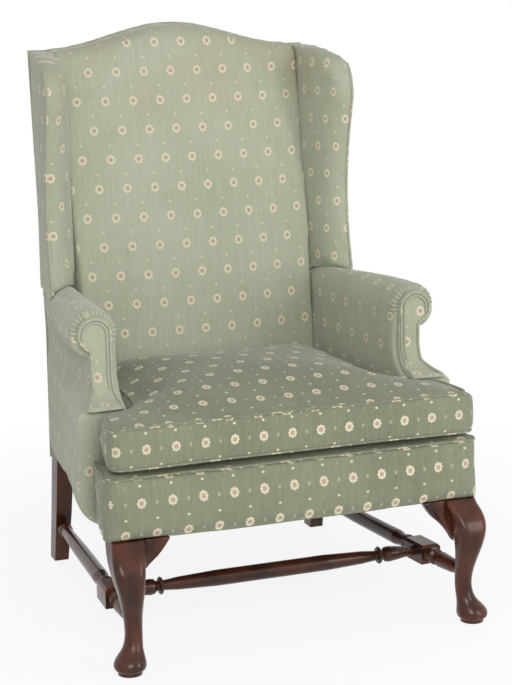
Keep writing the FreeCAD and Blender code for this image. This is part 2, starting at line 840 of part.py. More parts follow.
def zigzag(x):
    front, rear = spring_ends()
    start = front + spring_clip_deep / 2
    end = rear - spring_clip_deep / 2
    z = spring_z()
    r = spring_bend_r
    bend = r * (1 - math.sqrt(0.5))
    turns = int((end - start - 2 * spring_lead) / (2 * r))
    lead = (end - start - 2 * r * turns) / 2
    side = spring_half_wide - r
    edges = [line(Vector(x, start, z), Vector(x, start + lead - r, z))]
    here = Vector(x, start + lead - r, z)
    way = 1.0
    corner = Vector(x + way * r, start + lead, z)
    edges.append(arc(here, Vector(x + way * bend, start + lead - bend, z), corner))
    here = corner
    for turn in range(turns):
        y = start + lead + 2 * r * turn
        out = Vector(x + way * side, y, z)
        tip = Vector(x + way * (side + r), y + r, z)
        back = Vector(x + way * side, y + 2 * r, z)
        diagonal = r * math.sqrt(0.5)
        if (out - here).Length > 0.01:
            edges.append(line(here, out))
        edges.append(arc(out, Vector(out.x + way * diagonal, y + r - diagonal, z), tip))
        edges.append(arc(tip, Vector(out.x + way * diagonal, y + r + diagonal, z), back))
        here = back
        way = -way
    last = Vector(x + way * r, here.y, z)
    edges.append(line(here, last))
    foot = Vector(x, here.y + r, z)
    edges.append(arc(last, Vector(x + way * bend, here.y + bend, z), foot))
    edges.append(line(foot, Vector(x, end, z)))
    path = Part.Wire(edges)
    ring = Part.Wire(Part.makeCircle(spring_wire_r, Vector(x, start, z), Vector(0, 1, 0)))
    return path.makePipeShell([ring], True, False)


def spring_clips():
    front, rear = spring_ends()
    z = spring_z()
    half = spring_clip_wide / 2
    clips = []
    for x in spring_xs():
        for y0 in (front, rear - spring_clip_deep):
            y1 = y0 + spring_clip_deep
            clip = box(x - half, x + half, y0, y1, z - spring_clip_low, z + spring_wire_r)
            clips.append(clip.cut(rod(Vector(x, y0 - 1, z), Vector(x, y1 + 1, z), spring_wire_r + bore_gap)))
    return clips


# Cushion
def cushion_inner_x(y):
    return arm_value(y, 1) - cushion_gap - piping_r


def cushion_outline():
    ear = cushion_ear_half
    ear_rear = ear - cushion_ear_in
    front = cushion_front_y
    step = cushion_ear_back_y
    neck = cushion_inner_x(step)
    tail = cushion_inner_x(cushion_rear_y) - 1.0
    rear = cushion_rear_y
    tail_y = rear + cushion_rear_bow
    points = [Vector(x, y, 0) for x, y in
              [(-ear, front), (ear, front), (ear_rear, step), (neck, step), (tail, tail_y),
               (-tail, tail_y), (-neck, step), (-ear_rear, step)]]
    edges = [arc(points[0], Vector(0, front + cushion_pull_in, 0), points[1])]
    for a, b in zip(points[1:4], points[2:5]):
        edges.append(line(a, b))
    edges.append(arc(points[4], Vector(0, rear, 0), points[5]))
    for a, b in zip(points[5:], points[6:] + points[:1]):
        edges.append(line(a, b))
    solid = Part.Face(Part.Wire(edges)).extrude(Vector(0, 0, 10))
    upright = [edge for edge in solid.Edges
               if abs(edge.Vertexes[0].Z - edge.Vertexes[-1].Z) > 9]
    crotch = [edge for edge in upright
              if abs(edge.Vertexes[0].Y - step) < 0.1 and abs(abs(edge.Vertexes[0].X) - neck) < 0.1]
    corners = [edge for edge in upright
               if not any(edge.isSame(other) for other in crotch)]
    solid = solid.makeFillet(cushion_corner_r, corners)
    crotch = [edge for edge in solid.Edges
              if len(edge.Vertexes) == 2 and abs(edge.Vertexes[0].Z - edge.Vertexes[1].Z) > 9
              and abs(edge.Vertexes[0].Y - step) < 0.1 and abs(abs(edge.Vertexes[0].X) - neck) < 0.1]
    solid = solid.makeFillet(cushion_crotch_r, crotch)
    return min(solid.Faces, key=lambda face: face.CenterOfMass.z).OuterWire


def moved_ring(outline, shrink, z):
    middle_y = (cushion_front_y + cushion_rear_y) / 2
    ring = outline.copy()
    matrix = FreeCAD.Matrix()
    matrix.move(Vector(0, -middle_y, 0))
    matrix.scale(shrink, shrink, 1)
    matrix.move(Vector(0, middle_y, z))
    return Part.Wire(Part.__sortEdges__(ring.transformGeometry(matrix).Edges))


def cushion_form(outline, inset):
    reach = (cushion_ear_half - inset) / cushion_ear_half
    low = boxing_bottom + inset * 0.3
    high = boxing_top - inset * 0.3
    middle = (low + high) / 2
    swell = (cushion_ear_half - inset + boxing_swell) / cushion_ear_half
    boxing = loft([moved_ring(outline, reach, low), moved_ring(outline, swell, middle),
                   moved_ring(outline, reach, high)])
    top_rise = crown_top - inset * 0.7
    drop = boxing_bottom - deck_top - inset * 0.7
    top = [moved_ring(outline, reach, high)]
    bottom = [moved_ring(outline, reach, low)]
    for shrink in crown_shrinks:
        lift = 1 - shrink ** 2.2
        top.append(moved_ring(outline, shrink * reach, high + top_rise * lift))
        bottom.append(moved_ring(outline, shrink * reach, low - drop * lift))
    plan = Part.Face(moved_ring(outline, swell, deck_top)).extrude(Vector(0, 0, crown_top + high - deck_top))
    return boxing.fuse([loft(top).common(plan), loft(bottom).common(plan)]).removeSplitter()


def piping_ring(outline, z):
    inner, outer = [Part.Face(moved_ring(outline, (cushion_ear_half + reach) / cushion_ear_half, z - piping_r))
                    for reach in (piping_gap, piping_gap + piping_proud)]
    tall = Vector(0, 0, 2 * piping_r)
    return biggest(outer.extrude(tall).cut(inner.extrude(tall)))


# Cutting shapes for the hollows
def seat_hollow(bottom):
    front, rear = spring_ends()
    wide, narrow = (side_rail_x(y) - rail_thick / 2 for y in (front, rear))
    return prism_z([(-wide, front), (wide, front), (narrow, rear), (-narrow, rear)], bottom, rail_top)


def seat_plan(y_front, y_rear, bottom, top, inset=0.0):
    wide, narrow = arm_value(y_front, 1) - inset, arm_value(y_rear, 1) - inset
    return prism_z([(-wide, y_front), (wide, y_front), (narrow, y_rear), (-narrow, y_rear)], bottom, top)


# Everything outside and below the seam under the arm's roll
def below_roll():
    def ring(station):
        y, _, roll_x, roll_r, roll_end = station[:5]
        seam_z = arm_roll_z + roll_r * math.sin(math.radians(roll_end))
        return upright_rectangle(roll_x + roll_seam_out, far, y, 0, seam_z)
    return loft([ring(station) for station in arm_stations], True)


def back_hollow():
    inner = back_post_x() - back_post_wide / 2
    near = -frame_setback - back_post_deep
    return prism_x(rear_band(near, 1.0, rail_top - 1.0, post_top), -inner, inner)


def solids_of(shape):
    return shape.Solids if shape.Solids else [shape]


def biggest(shape):
    return max(solids_of(shape), key=lambda solid: solid.Volume)


def main():
    pieces = {}

    def both(name, shape):
        pieces[name + "_right"] = shape
        pieces[name + "_left"] = mirror(shape)

    # Wooden frame
    dowels = frame_dowels()
    screws = block_screws()
    pins = Part.makeCompound(dowels + screws)
    pins_both = Part.makeCompound([pins, mirror(pins)])
    stretcher = side_stretcher()
    cross = cross_stretcher()
    leg = front_leg().cut([stretcher, pins])
    rear_leg_solid = rear_leg().cut([stretcher, pins])
    both("front_leg", biggest(leg))
    both("knee_bracket", biggest(knee_bracket().cut(leg)))
    both("rear_leg", biggest(rear_leg_solid))
    both("side_stretcher", biggest(stretcher.cut(cross)))
    pieces["cross_stretcher"] = cross
    rail = side_rail()
    both("seat_rail", biggest(rail.cut(pins)))
    pieces["seat_rail_front"] = front_rail().cut(pins_both)
    pieces["seat_rail_back"] = back_rail().cut(pins_both)
    posts = Part.makeCompound([front_leg(), rear_leg(), rail])
    block_a = biggest(front_corner_block().cut(posts).cut(front_rail()).cut(pins))
    block_b = biggest(rear_corner_block().cut(posts).cut(back_rail()).cut(pins))
    blocks = [block_a, block_b, mirror(block_a), mirror(block_b)]
    pieces["corner_blocks"] = Part.makeCompound(blocks)
    pieces["corner_block_screws"] = Part.makeCompound(screws + [mirror(pin) for pin in screws])
    pieces["frame_dowels"] = Part.makeCompound(dowels + [mirror(pin) for pin in dowels])
    post = back_post()
    both("back_post", post)
    pieces["crest_rail"] = crest_rail()
    pieces["lower_back_rail"] = lower_back_rail()
    arm_outer, arm_inner = arm_form(0.0), arm_form(cloth)
    stump = biggest(arm_stump().cut(rail).cut(front_waste()).common(arm_inner))
    both("arm_stump", stump)
    arm_board = biggest(arm_rail().cut(post))
    both("arm_rail", arm_board)
    tack_board = biggest(tack_rail().cut(stump).cut(post))
    both("arm_tack_rail", tack_board)
    both("wing_post", wing_post())
    both("wing_rail", wing_rail())

    wood_right = Part.makeCompound([front_leg(), rear_leg(), rail, post, stump, arm_board, tack_board,
                                    wing_post(), wing_rail(), block_a, block_b] + screws)
    wood = Part.makeCompound([wood_right, mirror(wood_right), pieces["crest_rail"],
                              pieces["lower_back_rail"], front_rail(), back_rail()])

    # Springs, straps and hessian
    pieces["seat_springs"] = Part.makeCompound([zigzag(x) for x in spring_xs()])
    pieces["spring_clips"] = Part.makeCompound(spring_clips())
    seat_front = front_post_y - post_size / 2
    seat_rear = rear_leg_y + rear_leg_deep / 2
    hessian = seat_plan(seat_front, seat_rear, rail_top, rail_top + sheet, hidden_gap)
    pieces["seat_hessian"] = hessian
    strap_half = back_post_x() + back_post_wide / 2
    face = -frame_setback - back_post_deep
    first, last = lower_rail_z + lower_rail_tall + strap_low, post_top - strap_wide - strap_high
    straps = [prism_x(rear_band(face - cloth, face, z, z + strap_wide), -strap_half, strap_half).cut(wood)
              for z in [between(first, last, number / (strap_count - 1)) for number in range(strap_count)]]
    pieces["back_webbing"] = Part.makeCompound(straps)
    back_hessian = prism_x(rear_band(face - cloth - sheet, face - cloth, lower_rail_z, post_top),
                           -strap_half, strap_half).cut(wood)
    pieces["back_hessian"] = back_hessian

    # Upholstery forms and what is cut from them
    waste = Part.makeCompound([rear_cut, front_waste()])
    back_outer, back_inner = back_form(0.0).cut(rear_cut), back_form(cloth).cut(rear_cut)
    wing_outer, wing_inner = wing_form(0.0), wing_form(cloth)
    inner_sheets = Part.makeCompound([back_hessian, hessian] + straps)

    # Back: stuffing in front of the straps, cloth over it, a flat cloth panel behind
    hollow = back_hollow()
    pieces["inner_back_cover"] = biggest(back_outer.cut(back_inner))
    back_pad = back_inner.cut(hollow).cut(wood).cut(inner_sheets)
    pieces["back_pad"] = biggest(back_pad)
    points = [(-rear_half, side_bottom), (rear_half, side_bottom), (rear_half, wing_edge[-1][1])]
    points += crest_points() + [(-rear_half, wing_edge[-1][1])]
    outline = prism_y(points)
    band = prism_x(rear_band(0.0, cloth, side_bottom, 2 * rear_top_z))
    outer_back = outline.common(band)
    legs_both = Part.makeCompound([rear_leg(), mirror(rear_leg())])
    pieces["outer_back_cover"] = biggest(outer_back.cut(legs_both))

    # Wing: from the back to the front edge, standing on the arm
    below = Part.makeCompound([arm_outer, back_outer, rear_cut])
    wing_pad = wing_inner.cut(below).cut(wood).cut(inner_sheets)
    both("wing_pad", biggest(wing_pad))
    both("wing_cover", biggest(wing_outer.cut(wing_inner).cut(below)))
    outer_layer = loft([wing_section(1.0, 0.0, 0.0),
                        wing_section(1.0, 0.0, 0.0).translated(Vector(cloth, 0, 0))], True)
    both("outer_wing_cover", biggest(outer_layer.cut(below)))

    # Arm: stuffing, inside cloth over the roll, outside cloth below it and the facing
    arm_pad = arm_inner.cut(waste).cut(back_outer).cut(wood).cut(inner_sheets).cut(seat_hollow(rail_bottom))
    both("arm_pad", biggest(arm_pad))
    skin = arm_outer.cut(arm_inner).cut(waste).cut(back_outer).cut(wood).cut(inner_sheets)
    outside = below_roll()
    under_rail = box(0, far, -far, far, 0, rail_bottom)
    beside_rail = box(0, far, -far, far, 0, rail_top)
    both("arm_cover", biggest(skin.cut(outside).cut(beside_rail)))
    front_skin = Part.Face(arm_section(arm_stations[0], 0.0)).extrude(Vector(0, 200, 0))
    front_skin = front_skin.common(box(0, far, arm_front_y - cloth, arm_front_y, 0, hip_z))
    border_outer = border_form(0.0, border_bottom, deck_top - cloth)
    outer_arm = skin.common(outside.fuse(under_rail))
    outer_arm = biggest(outer_arm.fuse(front_skin.cut(border_outer)).cut(wood).removeSplitter())
    both("outer_arm_cover", outer_arm)
    both("arm_facing", biggest(facing_outline().common(facing_band())))

    # Front border and seat deck
    border_inner = border_form(cloth, border_bottom, deck_top - cloth)
    brackets = Part.makeCompound([knee_bracket(), mirror(knee_bracket())])
    pieces["front_border_cover"] = biggest(border_outer.cut(border_inner).cut(wood).cut(brackets))
    room = seat_hollow(0)
    arms = Part.makeCompound([arm_outer, mirror(arm_outer)])
    dust = seat_plan(seat_front + dust_setback, seat_rear - cloth, rail_bottom - sheet, rail_bottom)
    border_pad = border_inner.cut(room).cut(wood).cut(hessian).cut(brackets).cut(dust)
    pieces["front_border_pad"] = biggest(border_pad)
    under_back = inner_low[0] + seat_under_back
    seat_pad = seat_plan(arm_front_y, under_back, rail_top + sheet, deck_top - cloth)
    pieces["seat_pad"] = biggest(seat_pad.cut(back_outer).cut(arms))
    deck = border_form(0.0, deck_top - cloth, deck_top)
    deck = deck.fuse(seat_plan(arm_front_y, under_back, deck_top - cloth, deck_top)).removeSplitter()
    arm_body = arm_outer.cut(waste).fuse(outer_arm)
    deck = deck.cut(back_outer).cut(Part.makeCompound([arm_body, mirror(arm_body)]))
    pieces["seat_deck_cover"] = biggest(deck)
    pieces["dust_cover"] = biggest(dust.cut(arms).cut(wood).cut(brackets))

    # Loose cushion
    outline = cushion_outline()
    cushion = cushion_form(outline, 0.0)
    core = cushion_form(outline, cloth)
    piping = [biggest(piping_ring(outline, z).cut(cushion)) for z in (boxing_bottom, boxing_top)]
    pieces["cushion_core"] = core
    pieces["cushion_cover"] = biggest(cushion.cut(core))
    pieces["cushion_piping"] = Part.makeCompound(piping)

    # Centre the chair front to back, then write one file for each piece
    boxes = [shape.optimalBoundingBox(False) for shape in pieces.values()]
    middle = (min(b.YMin for b in boxes) + max(b.YMax for b in boxes)) / 2
    for name, shape in pieces.items():
        shape = shape.translated(Vector(0, -middle, 0))
        shape.exportStep("parts/" + name + ".step")
        print(name, len(shape.Solids), shape.isValid(), round(shape.Volume / 1000, 1))
    print("middle", middle, "count", len(pieces))


main()
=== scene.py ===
import json
import math
import bmesh
import bpy
import numpy as np
from mathutils import Matrix, Vector, noise
from mathutils.bvhtree import BVHTree


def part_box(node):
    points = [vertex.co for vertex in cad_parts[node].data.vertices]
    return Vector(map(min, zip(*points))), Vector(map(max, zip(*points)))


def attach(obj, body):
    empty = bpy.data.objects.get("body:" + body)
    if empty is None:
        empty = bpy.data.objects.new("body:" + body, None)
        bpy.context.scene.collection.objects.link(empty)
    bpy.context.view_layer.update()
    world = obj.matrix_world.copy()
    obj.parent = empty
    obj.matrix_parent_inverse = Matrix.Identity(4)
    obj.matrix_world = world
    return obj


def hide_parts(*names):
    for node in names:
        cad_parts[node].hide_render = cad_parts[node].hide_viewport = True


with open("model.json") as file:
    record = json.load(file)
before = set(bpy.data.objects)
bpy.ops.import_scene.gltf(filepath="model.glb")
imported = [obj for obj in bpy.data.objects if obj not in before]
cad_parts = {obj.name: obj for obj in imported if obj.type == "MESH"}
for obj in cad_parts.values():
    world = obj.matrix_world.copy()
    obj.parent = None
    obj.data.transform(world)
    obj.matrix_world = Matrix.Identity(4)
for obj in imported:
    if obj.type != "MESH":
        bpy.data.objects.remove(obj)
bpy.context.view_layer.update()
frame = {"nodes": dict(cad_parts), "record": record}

bl_info = {
    "name": "Wingback Armchair",
    "version": (1, 0, 0),
    "blender": (4, 5, 0),
    "location": "View3D > Sidebar > Armchair",
    "description": "Dresses the frame of a wing chair in damask, piping, carving and polish",
    "category": "Add Mesh",
}

# Bodies, sides and the name of the cloth's map
CHAIR = "chair"
CUSHION = "seat_cushion"
SIDES = {"right": 1, "left": -1}
CLOTH_MAP = "cloth"

# Lines of the chair that several pieces follow, in metres: tops, the arm roll's axis, the cushion's seams
SHOULDER_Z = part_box("wing_cover_right")[1].z
CREST_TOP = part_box("inner_back_cover")[1].z
CREST_HALF = 0.270
ROLL_Z = 0.580
ROLL_X = 0.332
DECK_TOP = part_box("seat_deck_cover")[1].z
BOXING_LOW, BOXING_HIGH = 0.371, 0.445
UNDER_ROLL_Z = 0.533
CROWN_LIFT = 0.016


def colour(name, description, *default):
    return bpy.props.FloatVectorProperty(
        name=name, description=description, subtype="COLOR", size=4, default=(*default, 1))


def distance(name, description, default):
    return bpy.props.FloatProperty(
        name=name, description=description, subtype="DISTANCE", unit="LENGTH", default=default)


def power(name, description, default):
    return bpy.props.FloatProperty(name=name, description=description, subtype="POWER", default=default)


def degrees(name, description, default):
    return bpy.props.FloatProperty(name=name, description=description + ", in degrees", default=default)


class ClothSettings(bpy.types.PropertyGroup):
    """Colours of the damask and the spacing of its woven rosettes"""
    back_light: colour("Back, light", "Lit thread of the back and wings", 0.455, 0.475, 0.360)
    back_dark: colour("Back, dark", "Shaded thread of the back and wings", 0.350, 0.375, 0.270)
    # The seat's two thread colours are a darker, more saturated copy of the back's: the darkening is
    # painted shade on the seat, border and cushion
    seat_light_with_painted_shade: colour("Seat, light", "Lit thread of the seat and border", 0.255, 0.268, 0.180)
    seat_dark: colour("Seat, dark", "Shaded thread of the seat and border", 0.175, 0.190, 0.122)
    petal: colour("Petal", "Cream silk of the rosettes", 0.74, 0.67, 0.49)
    eye: colour("Eye", "Rosy brown centre of the rosettes", 0.40, 0.26, 0.19)
    pitch: distance("Pitch", "Distance between rosettes in a row", 0.0590)
    row: distance("Row", "Distance between rows of rosettes", 0.0600)
    rosette_wide: distance("Rosette width", "Width of one rosette", 0.0185)
    rosette_tall: distance("Rosette height", "Height of one rosette", 0.0205)


class WoodSettings(bpy.types.PropertyGroup):
    """Colours of the polished and of the plain wood"""
    dark: colour("Dark stain", "Mahogany in the hollows and pores", 0.022, 0.008, 0.005)
    warm: colour("Warm stain", "Mahogany on the worn faces", 0.135, 0.036, 0.014)
    beech: colour("Beech", "Plain wood of the hidden frame", 0.55, 0.38, 0.22)


class SewingSettings(bpy.types.PropertyGroup):
    """Sizes of the sewn and padded work"""
    voxel: distance("Mesh size", "Grid on which soft forms are made", 0.0065)
    welt: distance("Welt radius", "Radius of the piping", 0.0027)
    pleats: bpy.props.IntProperty(
        name="Pleats", description="Pleats round each arm scroll", default=15, min=3, max=40)
    pleat_long: distance("Pleat length", "Length of a pleat on the roll's front", 0.017)
    press: bpy.props.FloatProperty(
        name="Stuffing pressure", description="Pressure that swells the soft forms", default=4.0)


class StageSettings(bpy.types.PropertyGroup):
    """Where the camera stands, and the light"""
    place: bpy.props.FloatVectorProperty(
        name="Camera", description="Where the camera stands", subtype="TRANSLATION",
        unit="LENGTH", size=3, default=(-1.255, -3.3805, 1.296))
    azimuth: degrees("Azimuth", "Turn of the camera round the chair", -21.15)
    elevation: degrees("Elevation", "Height angle of the camera", 11.42)
    roll: degrees("Roll", "Tilt of the camera about its own axis", -0.54)
    key: power("Key light", "Power of the large soft light", 60.0)
    fill: power("Fill light", "Power of the second soft light", 34.0)


class ChairSettings(bpy.types.PropertyGroup):
    """All settings of the armchair"""
    cloth: bpy.props.PointerProperty(type=ClothSettings)
    wood: bpy.props.PointerProperty(type=WoodSettings)
    sewing: bpy.props.PointerProperty(type=SewingSettings)
    stage: bpy.props.PointerProperty(type=StageSettings)


def settings():
    return bpy.context.scene.armchair


def between(a, b, share):
    return a + (b - a) * share


def smooth_step(low, high, value):
    share = np.clip((value - low) / (high - low), 0.0, 1.0)
    return share * share * (3 - 2 * share)


# Shader nodes
class Nodes:
    """Short calls that add and join nodes in one tree"""

    def __init__(self, tree):
        self.tree = tree

    def add(self, kind, **values):
        node = self.tree.nodes.new(kind)
        for name, value in values.items():
            setattr(node, name, value)
        return node

    def put(self, socket, value):
        if isinstance(value, bpy.types.NodeSocket):
            self.tree.links.new(value, socket)
        elif value is not None:
            socket.default_value = value

    def fill(self, node, *values):
        for socket, value in zip(node.inputs, values):
            self.put(socket, value)
        return node

    def math(self, operation, a, b=None, c=None):
        return self.fill(self.add("ShaderNodeMath", operation=operation), a, b, c).outputs[0]

    def vector(self, operation, a, b=None):
        return self.fill(self.add("ShaderNodeVectorMath", operation=operation), a, b).outputs[0]

    def split(self, vector):
        return self.fill(self.add("ShaderNodeSeparateXYZ"), vector).outputs

    def join(self, x=0.0, y=0.0, z=0.0):
        return self.fill(self.add("ShaderNodeCombineXYZ"), x, y, z).outputs[0]

    def step(self, value, start, end):
        node = self.add("ShaderNodeMapRange", interpolation_type="SMOOTHSTEP")
        return self.fill(node, value, start, end, 0.0, 1.0).outputs[0]

    def mix(self, share, a, b):
        node = self.add("ShaderNodeMix", data_type="RGBA")
        for name, value in (("Factor_Float", share), ("A_Color", a), ("B_Color", b)):
            self.put(next(s for s in node.inputs if s.identifier == name), value)
        return next(s for s in node.outputs if s.identifier == "Result_Color")

    def noise(self, vector, scale, detail=2.0, rough=0.5):
        node = self.add("ShaderNodeTexNoise")
        for name, value in (("Vector", vector), ("Scale", scale), ("Detail", detail), ("Roughness", rough)):
            self.put(node.inputs[name], value)
        return node.outputs[0]

    def bump(self, height, strength, distance):
        node = self.add("ShaderNodeBump")
        for name, value in (("Strength", strength), ("Distance", distance), ("Height", height)):
            self.put(node.inputs[name], value)
        return node.outputs[0]

    def group(self, tree, **values):
        node = self.add("ShaderNodeGroup", node_tree=tree)
        for name, value in values.items():
            self.put(node.inputs[name.replace("_", " ")], value)
        return node.outputs


def shader_group(name, inputs, outputs):
    tree = bpy.data.node_groups.new(name, "ShaderNodeTree")
    kinds = {"V": "NodeSocketVector", "F": "NodeSocketFloat"}
    for label, kind in inputs:
        tree.interface.new_socket(label, in_out="INPUT", socket_type=kinds[kind])
    for label in outputs:
        tree.interface.new_socket(label, in_out="OUTPUT", socket_type=kinds["F"])
    nodes = Nodes(tree)
    return nodes, nodes.add("NodeGroupInput").outputs, nodes.add("NodeGroupOutput").inputs


def make_motif_group():
    """One rosette with its dots, in a cell one pitch wide and two rows tall"""
    n, given, out = shader_group(
        "rosette motif", [("Place", "V"), ("Pitch", "F"), ("Row", "F"), ("Wide", "F"), ("Tall", "F")],
        ["Ring", "Eye", "Dots", "Faint dots"])
    u, v, _ = n.split(given["Place"])
    x = n.math("DIVIDE", u, n.math("MULTIPLY", given["Wide"], 0.5))
    y = n.math("DIVIDE", v, n.math("MULTIPLY", given["Tall"], 0.5))
    reach = n.math("SQRT", n.math("ADD", n.math("MULTIPLY", x, x), n.math("MULTIPLY", y, y)))
    angle = n.math("ARCTAN2", y, x)
    lobes = n.math("COSINE", n.math("MULTIPLY", angle, 8.0))
    edge = n.math("MULTIPLY_ADD", lobes, 0.06, 0.93)
    gap = n.math("SUBTRACT", edge, reach)
    body = n.step(gap, -0.05, 0.06)
    furrow = n.step(lobes, -1.0, -0.35)
    outer = n.step(reach, 0.38, 0.62)
    groove = n.math("MULTIPLY", n.math("SUBTRACT", 1.0, furrow), outer)
    shade = n.math("SUBTRACT", 1.0, n.math("MULTIPLY", groove, 0.30))
    n.put(out["Ring"], n.math("MULTIPLY", body, shade))
    rib = n.step(n.math("ABSOLUTE", x), 0.0, 0.10)
    eye = n.math("SUBTRACT", 1.0, n.step(reach, 0.34, 0.56))
    n.put(out["Eye"], n.math("MULTIPLY", eye, n.math("MULTIPLY_ADD", rib, 0.35, 0.65)))

    def dot(dx, dy, wide, tall):
        px = n.math("DIVIDE", dx, wide)
        py = n.math("DIVIDE", dy, tall)
        far = n.math("SQRT", n.math("ADD", n.math("MULTIPLY", px, px), n.math("MULTIPLY", py, py)))
        return n.math("SUBTRACT", 1.0, n.step(far, 0.45, 1.15))

    half_pitch = n.math("MULTIPLY", given["Pitch"], 0.5)
    half_row = n.math("MULTIPLY", given["Row"], 0.5)
    bright = dot(u, n.math("SUBTRACT", v, half_row), 0.0034, 0.0027)
    tiny = dot(u, n.math("ADD", v, half_row), 0.0016, 0.0018)
    beside = dot(n.math("SUBTRACT", n.math("ABSOLUTE", u), half_pitch), v, 0.0030, 0.0044)
    n.put(out["Dots"], bright)
    n.put(out["Faint dots"], n.math("MAXIMUM", beside, n.math("MULTIPLY", tiny, 0.7)))
    return n.tree


def make_rosette_group(motif):
    """Staggered rows of the motif over the cloth's map"""
    n, given, out = shader_group(
        "rosettes", [("Cloth", "V"), ("Pitch", "F"), ("Row", "F"), ("Wide", "F"), ("Tall", "F")],
        ["Ring", "Eye", "Dots", "Faint dots"])
    u, v, _ = n.split(given["Cloth"])
    half_pitch = n.math("MULTIPLY", given["Pitch"], 0.5)
    found = []
    for shift in (0.0, 1.0):
        across = n.math("ADD", u, n.math("MULTIPLY", half_pitch, shift))
        along = n.math("ADD", v, n.math("MULTIPLY", given["Row"], shift))
        x = n.math("WRAP", across, half_pitch, n.math("MULTIPLY", half_pitch, -1.0))
        y = n.math("WRAP", along, given["Row"], n.math("MULTIPLY", given["Row"], -1.0))
        found.append(n.group(motif, Place=n.join(x, y), Pitch=given["Pitch"], Row=given["Row"],
                             Wide=given["Wide"], Tall=given["Tall"]))
    for label in ("Ring", "Eye", "Dots", "Faint dots"):
        n.put(out[label], n.math("MAXIMUM", found[0][label], found[1][label]))
    return n.tree


def make_weave_group():
    """Upright ribs and crossing threads: a height, and streaks of colour"""
    n, given, out = shader_group("weave", [("Cloth", "V"), ("Thread", "F")], ["Height", "Streak"])
    u, v, _ = n.split(given["Cloth"])
    turns = n.math("DIVIDE", 2 * math.pi, given["Thread"])
    warp = n.math("SINE", n.math("MULTIPLY", u, turns))
    weft = n.math("SINE", n.math("MULTIPLY", v, n.math("MULTIPLY", turns, 1.7)))
    ribs = n.math("MULTIPLY_ADD", warp, 0.30, 0.5)
    n.put(out["Height"], n.math("ADD", ribs, n.math("MULTIPLY", weft, 0.12)))
    fine = n.noise(n.join(n.math("MULTIPLY", u, 900.0), n.math("MULTIPLY", v, 40.0)), 1.0, 3.0, 0.6)
    broad = n.noise(n.join(n.math("MULTIPLY", u, 160.0), n.math("MULTIPLY", v, 14.0), 3.0), 1.0, 2.0)
    n.put(out["Streak"], n.math("ADD", n.math("MULTIPLY", fine, 0.6), n.math("MULTIPLY", broad, 0.4)))
    return n.tree


def make_wear_group():
    """Soft uneven patches, such as handling and age leave"""
    n, given, out = shader_group("wear", [("Place", "V"), ("Scale", "F")], ["Mask"])
    large = n.noise(given["Place"], given["Scale"], 3.0, 0.55)
    n.put(out["Mask"], n.step(large, 0.35, 0.68))
    return n.tree


def make_grain_group():
    """Wood figure drawn out along the board, and its pores"""
    n, given, out = shader_group(
        "grain", [("Place", "V"), ("Stretch", "V"), ("Scale", "F")], ["Figure", "Pores"])
    drawn = n.vector("MULTIPLY", given["Place"], given["Stretch"])
    figure = n.noise(drawn, given["Scale"], 4.0, 0.6)
    n.put(out["Figure"], n.step(figure, 0.34, 0.66))
    pores = n.noise(drawn, n.math("MULTIPLY", given["Scale"], 7.0), 2.0, 0.7)
    n.put(out["Pores"], n.step(pores, 0.56, 0.68))
    return n.tree


def new_finish(name, roughness, **plain):
    """A material with a Principled shader whose plain values are set on its own sockets"""
    material = bpy.data.materials.new(name)
    material.use_nodes = True
    nodes = Nodes(material.node_tree)
    shader = material.node_tree.nodes["Principled BSDF"]
    shader.inputs["Roughness"].default_value = roughness
    for label, value in plain.items():
        shader.inputs[label.replace("_", " ")].default_value = value
    return nodes, shader


def make_damask(name, light, dark, groups, silk, dots, stain=0.0):
    cloth = settings().cloth
    n, shader = new_finish(name, 0.72, Sheen_Weight=0.25, Sheen_Roughness=0.45, Specular_IOR_Level=0.35)
    laid = n.add("ShaderNodeUVMap", uv_map=CLOTH_MAP).outputs[0]
    place = n.add("ShaderNodeTexCoord").outputs["Object"]
    pattern = n.group(groups["rosettes"], Cloth=laid, Pitch=cloth.pitch, Row=cloth.row,
                      Wide=cloth.rosette_wide, Tall=cloth.rosette_tall)
    weave = n.group(groups["weave"], Cloth=laid, Thread=0.0011)
    patches = n.group(groups["wear"], Place=place, Scale=5.0)["Mask"]
    streaked = n.step(weave["Streak"], 0.34, 0.66)
    tone = n.math("ADD", n.math("MULTIPLY", streaked, 0.6), n.math("MULTIPLY", patches, 0.4))
    ground = n.mix(tone, dark, light)
    if stain:
        high = n.step(n.split(place)["Z"], 0.86, 1.0)
        spots = n.group(groups["wear"], Place=place, Scale=9.0)["Mask"]
        share = n.math("MULTIPLY", n.math("MULTIPLY", high, spots), stain)
        ground = n.mix(share, ground, (0.42, 0.35, 0.23, 1))
    worn = n.math("MULTIPLY_ADD", patches, -0.15, 1.0)
    cream = n.math("MULTIPLY", n.math("MULTIPLY", pattern["Ring"], worn), silk)
    petals = n.mix(cream, ground, tuple(cloth.petal))
    centred = n.mix(n.math("MULTIPLY", pattern["Eye"], 0.85), petals, tuple(cloth.eye))
    dotted = n.mix(n.math("MULTIPLY", pattern["Dots"], dots), centred, tuple(cloth.petal))
    faint = tuple(between(a, b, 0.35) for a, b in zip(cloth.petal, cloth.eye))
    pale = n.math("MULTIPLY", pattern["Faint dots"], dots * 0.6)
    n.put(shader.inputs["Base Color"], n.mix(pale, dotted, faint))
    raised_dots = n.math("MULTIPLY", pattern["Dots"], 0.5)
    raised = n.math("ADD", n.math("MULTIPLY", pattern["Ring"], 0.8), raised_dots)
    height = n.math("ADD", weave["Height"], raised)
    n.put(shader.inputs["Normal"], n.bump(height, 0.35, 0.0004))
    return bpy.data.materials[name]


